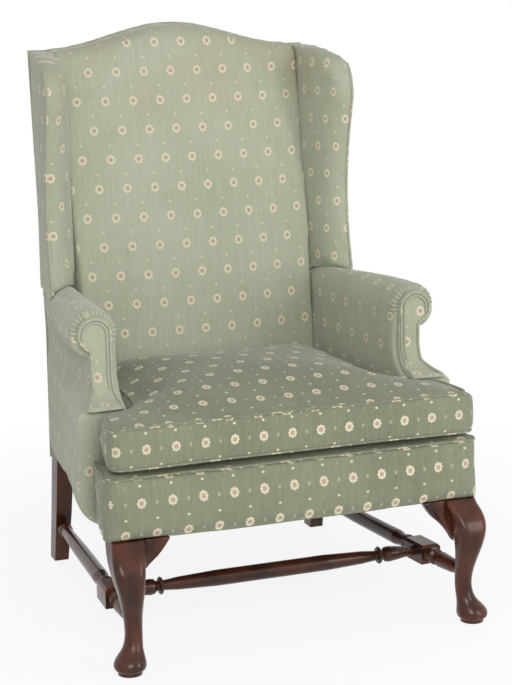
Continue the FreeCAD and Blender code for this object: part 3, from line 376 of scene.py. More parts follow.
def make_mahogany(name, stretch, groups):
    wood = settings().wood
    n, shader = new_finish(name, 0.3, Coat_Weight=0.18, Coat_Roughness=0.05, Specular_IOR_Level=0.25)
    place = n.add("ShaderNodeTexCoord").outputs["Object"]
    grain = n.group(groups["grain"], Place=place, Stretch=stretch, Scale=26.0)
    worn = n.group(groups["wear"], Place=place, Scale=14.0)["Mask"]
    tone = n.math("ADD", n.math("MULTIPLY", grain["Figure"], 0.45), n.math("MULTIPLY", worn, 0.4))
    colour = n.mix(tone, tuple(wood.dark), tuple(wood.warm))
    pores = n.math("MULTIPLY", grain["Pores"], 0.5)
    n.put(shader.inputs["Base Color"], n.mix(pores, colour, tuple(wood.dark)))
    n.put(shader.inputs["Roughness"], n.math("MULTIPLY_ADD", worn, 0.12, 0.24))
    height = n.math("ADD", grain["Figure"], n.math("MULTIPLY", grain["Pores"], -0.6))
    n.put(shader.inputs["Normal"], n.bump(height, 0.12, 0.0005))
    return bpy.data.materials[name]


def make_plain_wood(groups):
    n, shader = new_finish("beech", 0.62)
    place = n.add("ShaderNodeTexCoord").outputs["Object"]
    grain = n.group(groups["grain"], Place=place, Stretch=(1.0, 1.0, 0.3), Scale=40.0)
    light = tuple(settings().wood.beech)
    dark = tuple(c * 0.72 for c in light[:3]) + (1,)
    n.put(shader.inputs["Base Color"], n.mix(grain["Figure"], dark, light))
    n.put(shader.inputs["Normal"], n.bump(grain["Pores"], 0.2, 0.0004))
    return bpy.data.materials["beech"]


def make_steel(groups):
    n, shader = new_finish("steel", 0.38, Metallic=1.0)
    place = n.add("ShaderNodeTexCoord").outputs["Object"]
    dull = n.group(groups["wear"], Place=place, Scale=60.0)["Mask"]
    n.put(shader.inputs["Base Color"], n.mix(dull, (0.30, 0.29, 0.28, 1), (0.52, 0.52, 0.53, 1)))
    n.put(shader.inputs["Roughness"], n.math("MULTIPLY_ADD", dull, -0.15, 0.5))
    return bpy.data.materials["steel"]


def make_open_weave(name, dark, light, thread, groups):
    """Coarse cloth that has no map of its own: its threads follow the object's place"""
    n, shader = new_finish(name, 0.9, Sheen_Weight=0.15)
    place = n.add("ShaderNodeTexCoord").outputs["Object"]
    x, y, z = n.split(place)
    across = n.math("ADD", x, n.math("MULTIPLY", y, 0.05))
    along = n.math("ADD", y, z)
    weave = n.group(groups["weave"], Cloth=n.join(across, along), Thread=thread)
    patches = n.group(groups["wear"], Place=place, Scale=12.0)["Mask"]
    tone = n.math("ADD", n.math("MULTIPLY", weave["Height"], 0.6), n.math("MULTIPLY", patches, 0.4))
    n.put(shader.inputs["Base Color"], n.mix(tone, dark, light))
    n.put(shader.inputs["Normal"], n.bump(weave["Height"], 0.5, thread * 0.3))
    return bpy.data.materials[name]


# Finishes by name, and the dark colour, light colour and thread spacing of the coarse cloths
MATERIALS = {}
OPEN_WEAVES = {
    "hessian": ((0.24, 0.17, 0.09, 1), (0.50, 0.38, 0.22, 1), 0.0022),
    "webbing": ((0.20, 0.16, 0.11, 1), (0.44, 0.36, 0.25, 1), 0.0035),
    "stuffing": ((0.55, 0.51, 0.44, 1), (0.75, 0.71, 0.62, 1), 0.006),
    "dust_cloth": ((0.012, 0.012, 0.012, 1), (0.05, 0.05, 0.048, 1), 0.0012),
}


def make_materials():
    cloth = settings().cloth
    groups = {"weave": make_weave_group(), "wear": make_wear_group(), "grain": make_grain_group(),
              "rosettes": make_rosette_group(make_motif_group())}
    back = tuple(cloth.back_light), tuple(cloth.back_dark)
    seat = tuple(cloth.seat_light_with_painted_shade), tuple(cloth.seat_dark)
    MATERIALS["back"] = make_damask("sage_damask_back", *back, groups, silk=0.88, dots=0.62, stain=0.4)
    # Seat damask: the back's pattern on a darker ground, which stands for painted shade on the seat,
    # border, deck and cushion
    MATERIALS["seat"] = make_damask("sage_damask_seat", *seat, groups, silk=1.0, dots=0.92)
    MATERIALS["upright"] = make_mahogany("mahogany_upright", (1.0, 1.0, 0.12), groups)
    MATERIALS["lengthwise"] = make_mahogany("mahogany_lengthwise", (1.0, 0.12, 1.0), groups)
    MATERIALS["crosswise"] = make_mahogany("mahogany_crosswise", (0.12, 1.0, 1.0), groups)
    MATERIALS["beech"] = make_plain_wood(groups)
    MATERIALS["steel"] = make_steel(groups)
    for name, (dark, light, thread) in OPEN_WEAVES.items():
        MATERIALS[name] = make_open_weave(name, dark, light, thread, groups)


# Mesh helpers
def new_object(name, mesh):
    made = bpy.data.objects.new(name, mesh)
    bpy.context.scene.collection.objects.link(made)
    return made


def finished_mesh(obj):
    """The object's mesh with its modifiers applied, as a plain mesh"""
    view = bpy.context.evaluated_depsgraph_get()
    return bpy.data.meshes.new_from_object(obj.evaluated_get(view))


def applied(obj, kind, **values):
    """Adds one modifier and bakes it into the mesh"""
    modifier = obj.modifiers.new(kind.lower(), kind)
    for name, value in values.items():
        setattr(modifier, name, value)
    mesh = finished_mesh(obj)
    obj.modifiers.clear()
    old = obj.data
    obj.data = mesh
    bpy.data.meshes.remove(old)
    return obj


def joined_copy(name, nodes):
    """A welded copy of several nodes of the frame in one mesh"""
    work = bmesh.new()
    for node in nodes:
        work.from_mesh(frame["nodes"][node].data)
    bmesh.ops.remove_doubles(work, verts=work.verts, dist=1e-5)
    mesh = bpy.data.meshes.new(name)
    work.to_mesh(mesh)
    work.free()
    return new_object(name, mesh)


def keep_largest(obj):
    """Drops every loose part but the largest, such as the walls of closed hollows"""
    work = bmesh.new()
    work.from_mesh(obj.data)
    seen, best = set(), []
    for start in work.verts:
        if start.index in seen:
            continue
        seen.add(start.index)
        part, edge = [start], [start]
        while edge:
            vertex = edge.pop()
            for link in vertex.link_edges:
                other = link.other_vert(vertex)
                if other.index not in seen:
                    seen.add(other.index)
                    part.append(other)
                    edge.append(other)
        if len(part) > len(best):
            best = part
    kept = {vertex.index for vertex in best}
    bmesh.ops.delete(work, geom=[v for v in work.verts if v.index not in kept], context="VERTS")
    work.to_mesh(obj.data)
    work.free()


def places(mesh):
    found = np.empty(len(mesh.vertices) * 3, np.float32)
    mesh.vertices.foreach_get("co", found)
    return found.reshape(-1, 3).astype(float)


def put_places(mesh, found):
    mesh.vertices.foreach_set("co", found.astype(np.float32).ravel())
    mesh.update()


def vertex_normals(mesh):
    found = np.empty(len(mesh.vertices) * 3, np.float32)
    mesh.vertex_normals.foreach_get("vector", found)
    return found.reshape(-1, 3).astype(float)


def waves(found, scale, seed, detail=2):
    """Smooth noise from -1 to 1 at each place, drawn out by a scale per axis"""
    shift = Vector((seed * 7.3, seed * 3.1, seed * 5.7))
    points = found * np.array(scale)
    return np.array([noise.fractal(Vector(p) + shift, 0.8, 2.0, detail) for p in points])


def inflate(obj, cap, held):
    """Swells the form with simulated cloth under pressure, and limits how far a point may move"""
    before = places(obj.data)
    group = obj.vertex_groups.new(name="held")
    weights = held(before)
    for index in np.nonzero(weights > 0.01)[0]:
        group.add([int(index)], float(weights[index]), "REPLACE")
    cloth = obj.modifiers.new("cloth", "CLOTH")
    cloth.settings.quality = 4
    cloth.settings.mass = 0.3
    cloth.settings.tension_stiffness = 12
    cloth.settings.compression_stiffness = 8
    cloth.settings.shear_stiffness = 5
    cloth.settings.bending_stiffness = 0.6
    cloth.settings.use_pressure = True
    cloth.settings.uniform_pressure_force = settings().sewing.press
    cloth.settings.vertex_group_mass = "held"
    cloth.settings.effector_weights.gravity = 0
    cloth.point_cache.frame_start = 1
    cloth.point_cache.frame_end = 20
    for number in range(1, 21):
        bpy.context.scene.frame_set(number)
    mesh = finished_mesh(obj)
    obj.modifiers.clear()
    after = places(mesh)
    bpy.data.meshes.remove(mesh)
    obj.vertex_groups.clear()
    bpy.context.scene.frame_set(1)
    move = after - before
    length = np.linalg.norm(move, axis=1, keepdims=True)
    move *= np.minimum(1.0, cap / np.maximum(length, 1e-9))
    put_places(obj.data, before + move)


def soft_form(name, nodes, voxel, cap, held, rounds=6):
    """A padded form: the nodes' common outside, softened, swollen and refined once"""
    obj = joined_copy(name, nodes)
    applied(obj, "REMESH", mode="VOXEL", voxel_size=voxel)
    keep_largest(obj)
    applied(obj, "SMOOTH", factor=0.5, iterations=rounds)
    inflate(obj, cap, held)
    applied(obj, "SMOOTH", factor=0.4, iterations=2)
    applied(obj, "SUBSURF", levels=1, render_levels=1)
    return obj


def mirrored(obj, name):
    mesh = obj.data.copy()
    found = places(mesh)
    found[:, 0] *= -1
    put_places(mesh, found)
    mesh.flip_normals()
    return new_object(name, mesh)


def relief(obj, depth_at):
    """Moves each point along its normal by depth_at(places, normals), in metres"""
    found = places(obj.data)
    normals = vertex_normals(obj.data)
    found += normals * depth_at(found, normals)[:, None]
    put_places(obj.data, found)


def lay_cloth(obj, panels):
    """Writes the cloth's map in metres: panels() numbers each face's panel, and gives a formula for each"""
    mesh = obj.data
    layer = mesh.uv_layers.get(CLOTH_MAP) or mesh.uv_layers.new(name=CLOTH_MAP)
    found = places(mesh)
    faces = len(mesh.polygons)
    normals = np.empty(faces * 3, np.float32)
    mesh.polygons.foreach_get("normal", normals)
    centres = np.empty(faces * 3, np.float32)
    mesh.polygons.foreach_get("center", centres)
    totals = np.empty(faces, np.int32)
    mesh.polygons.foreach_get("loop_total", totals)
    corners = np.empty(len(mesh.loops), np.int32)
    mesh.loops.foreach_get("vertex_index", corners)
    numbers, formulas = panels(centres.reshape(-1, 3), normals.reshape(-1, 3))
    number = np.repeat(numbers, totals)
    at = found[corners]
    laid = np.zeros((len(mesh.loops), 2))
    for index, formula in enumerate(formulas):
        chosen = number == index
        laid[chosen] = formula(at[chosen])
    layer.data.foreach_set("uv", laid.astype(np.float32).ravel())


def box_panels(front=(0.0, 0.0), side=(0.0, 0.0), top=(0.0, 0.0), wide=1.0, tall=1.0):
    """Flat panels by the way a face looks: each phase is where one rosette's centre lies"""
    def panels(centres, normals):
        return np.argmax(np.abs(normals), axis=1), [
            lambda p: np.stack([p[:, 1] - side[0], (p[:, 2] - side[1]) * tall], 1),
            lambda p: np.stack([(p[:, 0] - front[0]) * wide, (p[:, 2] - front[1]) * tall], 1),
            lambda p: np.stack([(p[:, 0] - top[0]) * wide, p[:, 1] - top[1]], 1),
        ]
    return panels


def dress(obj, material, slot, body, *replaced):
    """Material, smooth faces and body of one finished piece, and hides the frame's nodes it replaces"""
    obj.data.materials.clear()
    obj.data.materials.append(MATERIALS[material])
    obj.data.polygons.foreach_set("use_smooth", [True] * len(obj.data.polygons))
    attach(obj, body)
    if replaced:
        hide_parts(*replaced)
    return obj


def surface_of(obj):
    return BVHTree.FromPolygons([v.co for v in obj.data.vertices],
                                [tuple(p.vertices) for p in obj.data.polygons])


def cast_path(surface, starts, way, lift):
    """Where rays from the starts meet the surface, each lifted off it along its normal"""
    hits = [surface.ray_cast(start, way) for start in starts]
    return [hit + normal * lift for hit, normal, _, _ in hits if hit is not None]


def evenly(points, step, closed=False):
    """The same path with even steps"""
    line = [Vector(p) for p in points] + ([Vector(points[0])] if closed else [])
    lengths = [0.0]
    for a, b in zip(line, line[1:]):
        lengths.append(lengths[-1] + (b - a).length)
    count = max(2, round(lengths[-1] / step))
    made = []
    for number in range(count + (0 if closed else 1)):
        at = lengths[-1] * number / count
        index = max(i for i, length in enumerate(lengths) if length <= at + 1e-9)
        index = min(index, len(line) - 2)
        share = (at - lengths[index]) / max(lengths[index + 1] - lengths[index], 1e-9)
        made.append(line[index].lerp(line[index + 1], share))
    return made


# Piping: a geometry node tree that wraps a tube round a path and lays cloth on it
def make_welt_tree():
    tree = bpy.data.node_groups.new("welt", "GeometryNodeTree")
    tree.interface.new_socket("Path", in_out="INPUT", socket_type="NodeSocketGeometry")
    tree.interface.new_socket("Radius", in_out="INPUT", socket_type="NodeSocketFloat")
    tree.interface.new_socket("Finish", in_out="INPUT", socket_type="NodeSocketMaterial")
    tree.interface.new_socket("Welt", in_out="OUTPUT", socket_type="NodeSocketGeometry")
    n = Nodes(tree)
    given = n.add("NodeGroupInput").outputs
    kept = n.add("GeometryNodeCaptureAttribute", domain="POINT")
    kept.capture_items.new("FLOAT", "along")
    n.put(kept.inputs["Geometry"], given["Path"])
    n.put(kept.inputs["along"], n.add("GeometryNodeSplineParameter").outputs["Length"])
    ring = n.add("GeometryNodeCurvePrimitiveCircle", mode="RADIUS")
    n.put(ring.inputs["Resolution"], 10)
    n.put(ring.inputs["Radius"], given["Radius"])
    around = n.add("GeometryNodeCaptureAttribute", domain="POINT")
    around.capture_items.new("FLOAT", "around")
    n.put(around.inputs["Geometry"], ring.outputs[0])
    n.put(around.inputs["around"], n.add("GeometryNodeSplineParameter").outputs["Length"])
    tube = n.add("GeometryNodeCurveToMesh")
    n.put(tube.inputs["Curve"], kept.outputs["Geometry"])
    n.put(tube.inputs["Profile Curve"], around.outputs["Geometry"])
    n.put(tube.inputs["Fill Caps"], True)
    stored = n.add("GeometryNodeStoreNamedAttribute", data_type="FLOAT2", domain="CORNER")
    n.put(stored.inputs["Geometry"], tube.outputs[0])
    n.put(stored.inputs["Name"], CLOTH_MAP)
    n.put(stored.inputs["Value"], n.join(around.outputs["around"], kept.outputs["along"]))
    real = n.add("GeometryNodeRealizeInstances")
    n.put(real.inputs[0], stored.outputs[0])
    painted = n.add("GeometryNodeSetMaterial")
    n.put(painted.inputs["Geometry"], real.outputs[0])
    n.put(painted.inputs["Material"], given["Finish"])
    n.put(n.add("NodeGroupOutput").inputs[0], painted.outputs[0])
    return tree


def run_tree(obj, tree, **values):
    """Runs a geometry node tree with named inputs, and returns the plain mesh"""
    modifier = obj.modifiers.new("made", "NODES")
    modifier.node_group = tree
    for item in tree.interface.items_tree:
        name = item.name.replace(" ", "_")
        if item.in_out == "INPUT" and name in values:
            modifier[item.identifier] = values[name]
    mesh = finished_mesh(obj)
    bpy.data.objects.remove(obj)
    return mesh


def tree_named(name, make):
    return bpy.data.node_groups.get(name) or make()


def path_curve(name, points, closed):
    curve = bpy.data.curves.new(name, "CURVE")
    curve.dimensions = "3D"
    spline = curve.splines.new("POLY")
    spline.points.add(len(points) - 1)
    for point, place in zip(spline.points, points):
        point.co = (*place, 1.0)
    spline.use_cyclic_u = closed
    return new_object(name, curve)


def make_welt(name, paths, material, body, replaced=(), closed=False):
    """One piece of piping along one or more paths"""
    radius = settings().sewing.welt
    work = bmesh.new()
    for number, points in enumerate(paths):
        path = path_curve("%s_path_%d" % (name, number), evenly(points, 0.004, closed), closed)
        mesh = run_tree(path, tree_named("welt", make_welt_tree), Radius=radius, Finish=MATERIALS[material])
        work.from_mesh(mesh)
        bpy.data.meshes.remove(mesh)
    bmesh.ops.recalc_face_normals(work, faces=work.faces)
    mesh = bpy.data.meshes.new(name)
    work.to_mesh(mesh)
    work.free()
    return dress(new_object(name, mesh), material, "damask", body, *replaced)


# Outline of the crest, seen from the front
def crest_height(x):
    share = min(abs(x), CREST_HALF) / CREST_HALF
    low = CREST_TOP - 0.049
    return low + (CREST_TOP - low) * 0.5 * (1 + math.cos(math.pi * share))


# Where one rosette's centre lies on each panel, and how the cloth is stretched there
BACK_ROSETTE = (-0.028, 1.0363)
BACK_WIDE, BACK_TALL = 1.014, 1.0187
WING_ROSETTE = {"right": (0.117, 0.8715), "left": (0.105, 0.8950)}
WING_TALL = 1.0256
ARM_ROSETTE = {"right": (-0.0313, 0.042), "left": (-0.048, 0.028)}
FACING_ROSETTE = {"right": (0.3138, 0.5123), "left": (-0.3296, 0.4996)}
ARM_FRONT_ROSETTE = {"right": (0.3654, 0.3353), "left": (-0.3654, 0.3353)}
BORDER_ROSETTE = (0.0455, 0.3094)
BORDER_WIDE = 0.992
CUSHION_ROSETTE = (0.0435, 0.407)
CUSHION_TOP_ROSETTE = (-0.1642, -0.268)
CUSHION_WIDE = 1.035


# Pieces
def make_back():
    sewing = settings().sewing
    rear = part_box("outer_back_cover")[1].y

    def held(p):
        near_rear = smooth_step(0.045, 0.02, rear - 0.02 - p[:, 1] - (CREST_TOP - p[:, 2]) * 0.137)
        edges = smooth_step(0.225, 0.25, np.abs(p[:, 0]))
        return np.clip(near_rear + edges, 0, 1)

    back = soft_form("back_upholstery", ["inner_back_cover", "back_pad", "back_hessian", "back_webbing"],
                     sewing.voxel, 0.009, held)

    def depth(p, normals):
        front = np.clip(-normals[:, 1], 0, 1)
        return front * (waves(p, (3, 3, 3), 1) * 0.0016 + waves(p, (14, 4, 5), 2) * 0.0006)

    relief(back, depth)
    lay_cloth(back, box_panels(BACK_ROSETTE, BACK_ROSETTE, (BACK_ROSETTE[0], 0.0), BACK_WIDE, BACK_TALL))
    dress(back, "back", "damask", CHAIR, "inner_back_cover", "back_pad")
    return back


def wing_panels(sign, phase):
    """One panel runs round the wing's front edge from its inner face, and one lies outside"""
    def around(p):
        return np.stack([p[:, 0] * sign - p[:, 1] - phase[0], (p[:, 2] - phase[1]) * WING_TALL], 1)

    def outside(p):
        return np.stack([p[:, 1] - phase[0], (p[:, 2] - phase[1]) * WING_TALL], 1)

    def panels(centres, normals):
        return np.where(normals[:, 0] * sign > 0.7, 1, 0), [around, outside]
    return panels


def make_wings():
    sewing = settings().sewing
    nodes = [name + "_right" for name in ("wing_pad", "wing_cover", "outer_wing_cover", "wing_post",
                                          "wing_rail")]

    def held(p):
        return np.clip(smooth_step(0.325, 0.335, p[:, 0]) + smooth_step(0.30, 0.33, p[:, 1]), 0, 1)

    right = soft_form("wing_upholstery_right", nodes, sewing.voxel * 0.85, 0.006, held)
    wings = {"right": right, "left": mirrored(right, "wing_upholstery_left")}
    for number, (side, wing) in enumerate(wings.items()):
        relief(wing, lambda p, n: waves(p, (5, 5, 4), 11 + number) * 0.0014)
        lay_cloth(wing, wing_panels(SIDES[side], WING_ROSETTE[side]))
        dress(wing, "back", "damask", CHAIR,
              "wing_pad_" + side, "wing_cover_" + side, "outer_wing_cover_" + side)
    return wings


def arm_panels(sign, phase, front_phase):
    """Cloth of the arm: unrolled round the roll inside, flat outside and in front"""
    roll_r = 0.048

    def unrolled(p):
        turn = np.arctan2(p[:, 2] - ROLL_Z, ROLL_X - p[:, 0] * sign)
        turn = np.where(turn < -math.pi / 2, turn + 2 * math.pi, turn)
        up = np.where((p[:, 2] < ROLL_Z) & (p[:, 0] * sign < ROLL_X), p[:, 2] - ROLL_Z, turn * roll_r)
        return np.stack([p[:, 1] - phase[0], up - phase[1]], 1)

    def outside(p):
        return np.stack([p[:, 1] - phase[0], p[:, 2] - ROLL_Z - phase[1]], 1)

    def front(p):
        return np.stack([p[:, 0] - front_phase[0], p[:, 2] - front_phase[1]], 1)

    def panels(centres, normals):
        forward = -normals[:, 1] > 0.75
        outer = (centres[:, 0] * sign > ROLL_X) & (centres[:, 2] < UNDER_ROLL_Z)
        return np.where(forward, 2, np.where(outer, 1, 0)), [unrolled, outside, front]
    return panels


def refined(obj, chosen):
    """Divides the faces in one region again, where small folds need a finer mesh"""
    found = chosen(places(obj.data))
    work = bmesh.new()
    work.from_mesh(obj.data)
    work.verts.ensure_lookup_table()
    edges = [e for e in work.edges if found[e.verts[0].index] and found[e.verts[1].index]]
    bmesh.ops.subdivide_edges(work, edges=edges, cuts=1, use_grid_fill=True)
    work.to_mesh(obj.data)
    work.free()


def pleat_depth(p, sign, front):
    """Short folds that gather the cloth round the scroll, deepest at the roll's front edge"""
    sewing = settings().sewing
    turn = np.arctan2(p[:, 2] - ROLL_Z, p[:, 0] * sign - ROLL_X)
    far = np.hypot(p[:, 2] - ROLL_Z, p[:, 0] * sign - ROLL_X)
    fold = np.abs(np.cos(turn * sewing.pleats)) ** 8
    upper = smooth_step(-0.35, 0.1, turn) + smooth_step(-2.7, -3.0, turn)
    near = smooth_step(front + sewing.pleat_long, front + 0.002, p[:, 1]) * smooth_step(0.026, 0.034, far)
    return -0.0046 * fold * near * np.clip(upper, 0, 1)


def make_arms():
    sewing = settings().sewing
    nodes = [name + "_right" for name in ("arm_pad", "arm_cover", "outer_arm_cover", "arm_stump",
                                          "arm_rail", "arm_tack_rail")]
    low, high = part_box("arm_cover_right")
    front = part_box("arm_facing_right")[1].y

    def held(p):
        rear = smooth_step(high.y - 0.10, high.y - 0.04, p[:, 1])
        foot = smooth_step(0.36, 0.33, p[:, 2])
        scroll = smooth_step(front + 0.02, front + 0.004, p[:, 1])
        return np.clip(rear + foot + scroll, 0, 1)

    right = soft_form("arm_upholstery_right", nodes, sewing.voxel, 0.005, held)
    refined(right, lambda p: (p[:, 1] < front + 0.035) & (p[:, 1] > front - 0.012) & (p[:, 2] > 0.53))
    arms = {"right": right, "left": mirrored(right, "arm_upholstery_left")}
    for number, (side, arm) in enumerate(arms.items()):
        sign = SIDES[side]

        def depth(p, normals):
            outer = p[:, 0] * sign > ROLL_X + 0.012
            seam = np.exp(-((p[:, 2] - UNDER_ROLL_Z) / 0.005) ** 2) * outer * -0.004
            creases = smooth_step(0.545, 0.50, p[:, 2]) * waves(p, (10, 26, 6), 27 + number) * 0.0012
            return seam + creases + waves(p, (6, 9, 5), 21 + number) * 0.0016 + pleat_depth(p, sign, front)

        relief(arm, depth)
        lay_cloth(arm, arm_panels(sign, ARM_ROSETTE[side], ARM_FRONT_ROSETTE[side]))
        dress(arm, "back", "damask", CHAIR,
              "arm_pad_" + side, "arm_cover_" + side, "outer_arm_cover_" + side)
    return arms


def facing_lines():
    """Two lines of piping in the facing's plane: round its whole edge, and a second inside the scroll"""
    low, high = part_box("arm_facing_right")
    inset, toe_in, scroll_r, strip_wide = 0.0028, 0.004, 0.033, 0.042
    centre = Vector((low.x + toe_in + scroll_r, 0, high.z - scroll_r))
    strip_in, strip_out = centre.x - scroll_r, centre.x - scroll_r + strip_wide
    toe_top, toe_line = low.z + 0.027, low.z + 0.004

    def on_scroll(radius, first, last):
        count = 28
        turns = [math.radians(between(first, last, n / count)) for n in range(count + 1)]
        return [(centre.x + radius * math.cos(t), centre.z + radius * math.sin(t)) for t in turns]

    edge = [(strip_out - inset, centre.z - 0.034), (strip_out - inset, toe_top),
            (high.x - inset - 0.012, low.z + 0.012), (high.x - inset, toe_line), (low.x + inset, toe_line),
            (strip_in + inset, toe_top)]
    edge += on_scroll(scroll_r - inset, 180, -66)
    second_in = inset + settings().sewing.welt * 2.3
    second = [(strip_in + second_in, toe_top + 0.002), (strip_in + second_in, centre.z - 0.01)]
    second += on_scroll(scroll_r - second_in, 180, -20)
    step = 0.003
    return (evenly([(x, 0, z) for x, z in edge], step, closed=True),
            evenly([(x, 0, z) for x, z in second], step))


def make_facings():
    facing = joined_copy("arm_facing_panel_right", ["arm_facing_right"])
    applied(facing, "REMESH", mode="VOXEL", voxel_size=0.0022)
    applied(facing, "SMOOTH", factor=0.5, iterations=4)
    facings = {"right": facing, "left": mirrored(facing, "arm_facing_panel_left")}
    welt = settings().sewing.welt
    edge, second = facing_lines()
    for number, (side, panel) in enumerate(facings.items()):
        sign = SIDES[side]
        relief(panel, lambda p, n: 0.0008 + waves(p, (22, 22, 40), 31 + number) * 0.0006)
        phase = FACING_ROSETTE[side]
        lay_cloth(panel, box_panels(front=phase, side=(0, 0), top=(phase[0], -0.19)))
        dress(panel, "back", "damask", CHAIR, "arm_facing_" + side)
        surface = surface_of(panel)
        for name, line, closed in (("facing_welt_", edge, True), ("scroll_welt_", second, False)):
            starts = [Vector((p.x * sign, -1.0, p.z)) for p in line]
            path = cast_path(surface, starts, Vector((0, 1, 0)), welt * 0.45)
            make_welt(name + side, [path], "back", CHAIR, closed=closed)
    return facings


def make_knee_ears():
    """Carved ears beside the knees: flutes fan out from the leg"""
    low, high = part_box("knee_bracket_right")
    pivot = (high.x - 0.004, low.z + 0.004)
    ear = joined_copy("knee_ear_right", ["knee_bracket_right"])
    applied(ear, "REMESH", mode="VOXEL", voxel_size=0.0016)
    applied(ear, "SMOOTH", factor=0.5, iterations=3)

    def flutes(p, normals):
        turn = np.arctan2(p[:, 2] - pivot[1], pivot[0] - p[:, 0])
        far = np.hypot(p[:, 2] - pivot[1], pivot[0] - p[:, 0])
        front = np.clip(-normals[:, 1], 0, 1)
        groove = np.abs(np.sin(turn * 9)) ** 0.6
        reach = smooth_step(0.020, 0.034, far) * smooth_step(1.50, 1.36, turn)
        return -0.0034 * (1 - groove) * front * reach

    relief(ear, flutes)
    for side, piece in (("right", ear), ("left", mirrored(ear, "knee_ear_left"))):
        dress(piece, "upright", "mahogany", CHAIR, "knee_bracket_" + side)


def make_border():
    sewing = settings().sewing

    def held(p):
        return np.clip(smooth_step(0.250, 0.240, p[:, 2]) + smooth_step(-0.25, -0.22, p[:, 1]), 0, 1)

    border = soft_form("border_upholstery", ["front_border_cover", "front_border_pad"],
                       sewing.voxel * 0.85, 0.006, held, rounds=4)
    relief(border, lambda p, n: waves(p, (6, 6, 9), 41) * 0.0012)
    side_rosette = (-0.3385, BORDER_ROSETTE[1])
    lay_cloth(border, box_panels(BORDER_ROSETTE, side_rosette, CUSHION_TOP_ROSETTE, BORDER_WIDE))
    dress(border, "seat", "damask", CHAIR, "front_border_cover", "front_border_pad")
    return border


def make_deck():
    deck = joined_copy("seat_deck", ["seat_deck_cover", "seat_pad"])
    applied(deck, "REMESH", mode="VOXEL", voxel_size=0.007)
    keep_largest(deck)
    applied(deck, "SMOOTH", factor=0.5, iterations=3)
    relief(deck, lambda p, n: np.clip(n[:, 2], 0, 1) * (waves(p, (5, 5, 5), 51) * 0.001 - 0.001))
    lay_cloth(deck, box_panels(front=BORDER_ROSETTE, side=BORDER_ROSETTE, top=CUSHION_TOP_ROSETTE))
    dress(deck, "seat", "damask", CHAIR, "seat_deck_cover", "seat_pad")
    return deck


def make_cushion():
    sewing = settings().sewing

    def held(p):
        low = np.exp(-((p[:, 2] - BOXING_LOW) / 0.006) ** 2)
        high = np.exp(-((p[:, 2] - BOXING_HIGH) / 0.006) ** 2)
        middle_y = sum(corner.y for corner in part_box("cushion_cover")) / 2
        inside = (np.abs(p[:, 0]) < 0.20) & (np.abs(p[:, 1] - middle_y) < 0.18)
        under = smooth_step(0.368, 0.362, p[:, 2])
        return np.clip(np.where(inside, 0, low + high) + under, 0, 1)

    nodes = ["cushion_core", "cushion_cover"]
    cushion = soft_form("loose_cushion", nodes, sewing.voxel, 0.009, held, rounds=3)
    low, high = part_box("cushion_cover")
    front, rear = low.y, high.y

    def depth(p, normals):
        boxing = np.exp(-((p[:, 2] - (BOXING_LOW + BOXING_HIGH) / 2) / 0.03) ** 2)
        facing_front = np.clip(-normals[:, 1], 0, 1) * smooth_step(front + 0.05, front + 0.02, p[:, 1])
        pulls = waves(p, (70, 10, 9), 61) * 0.0011 * boxing * facing_front
        top = np.clip(normals[:, 2], 0, 1)
        return pulls + top * waves(p, (5, 6, 5), 62) * 0.0022 + waves(p, (4, 4, 12), 63) * 0.0012

    relief(cushion, depth)
    found = places(cushion.data)
    sag = waves(found * np.array([1, 0, 0]), (5, 1, 1), 64) * 0.003
    lifted = found[:, 2] > BOXING_LOW - 0.008
    found[:, 2] += np.where(lifted, sag * smooth_step(front + 0.16, front, found[:, 1]), 0)
    plump = smooth_step(front + 0.02, front + 0.22, found[:, 1])
    plump *= smooth_step(rear + 0.03, rear - 0.04, found[:, 1])
    plump *= smooth_step(0.275, 0.14, np.abs(found[:, 0]))
    plump *= smooth_step(BOXING_HIGH, BOXING_HIGH + 0.01, found[:, 2])
    found[:, 2] += plump * CROWN_LIFT
    put_places(cushion.data, found)
    lay_cloth(cushion, box_panels(CUSHION_ROSETTE, CUSHION_ROSETTE, CUSHION_TOP_ROSETTE, CUSHION_WIDE))
    dress(cushion, "seat", "damask", CUSHION, "cushion_core", "cushion_cover")
    return cushion


def cushion_ring(surface, level, lift):
    """A closed path round the cushion at one height"""
    low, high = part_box("cushion_cover")
    centre = Vector((0, low.y + 0.07, level))
    points = []
    count = 360
    for number in range(count):
        turn = 2 * math.pi * number / count
        way = Vector((math.cos(turn), math.sin(turn), 0))
        hit, normal, _, _ = surface.ray_cast(centre + way * 1.5, -way)
        points.append(hit + normal * lift)
    return points


def make_cushion_welts(cushion):
    surface = surface_of(cushion)
    welt = settings().sewing.welt
    rings = [cushion_ring(surface, level, welt * 0.5) for level in (BOXING_LOW + 0.001, BOXING_HIGH)]
    make_welt("cushion_welts", rings, "seat", CUSHION, ["cushion_piping"], closed=True)


def make_wing_welts(wings):
    welt = settings().sewing.welt
    for side, wing in wings.items():
        low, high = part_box("outer_wing_cover_" + side)
        seam_x = SIDES[side] * 0.329
        starts = [Vector((seam_x, low.y - 0.2, between(low.z + 0.012, high.z - 0.004, n / 60)))
                  for n in range(61)]
        path = cast_path(surface_of(wing), starts, Vector((0, 1, 0)), welt * 0.4)
        make_welt("wing_welt_" + side, [path], "back", CHAIR)


def make_crest_welt(back):
    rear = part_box("inner_back_cover")[1].y
    starts = [Vector((between(-CREST_HALF, CREST_HALF, n / 80), rear - 0.012, CREST_TOP + 0.1))
              for n in range(81)]
    raised = Vector((0, 0, settings().sewing.welt * 0.5))
    path = [place + raised for place in cast_path(surface_of(back), starts, Vector((0, 0, -1)), 0.0)]
    make_welt("crest_welt", [path], "back", CHAIR)


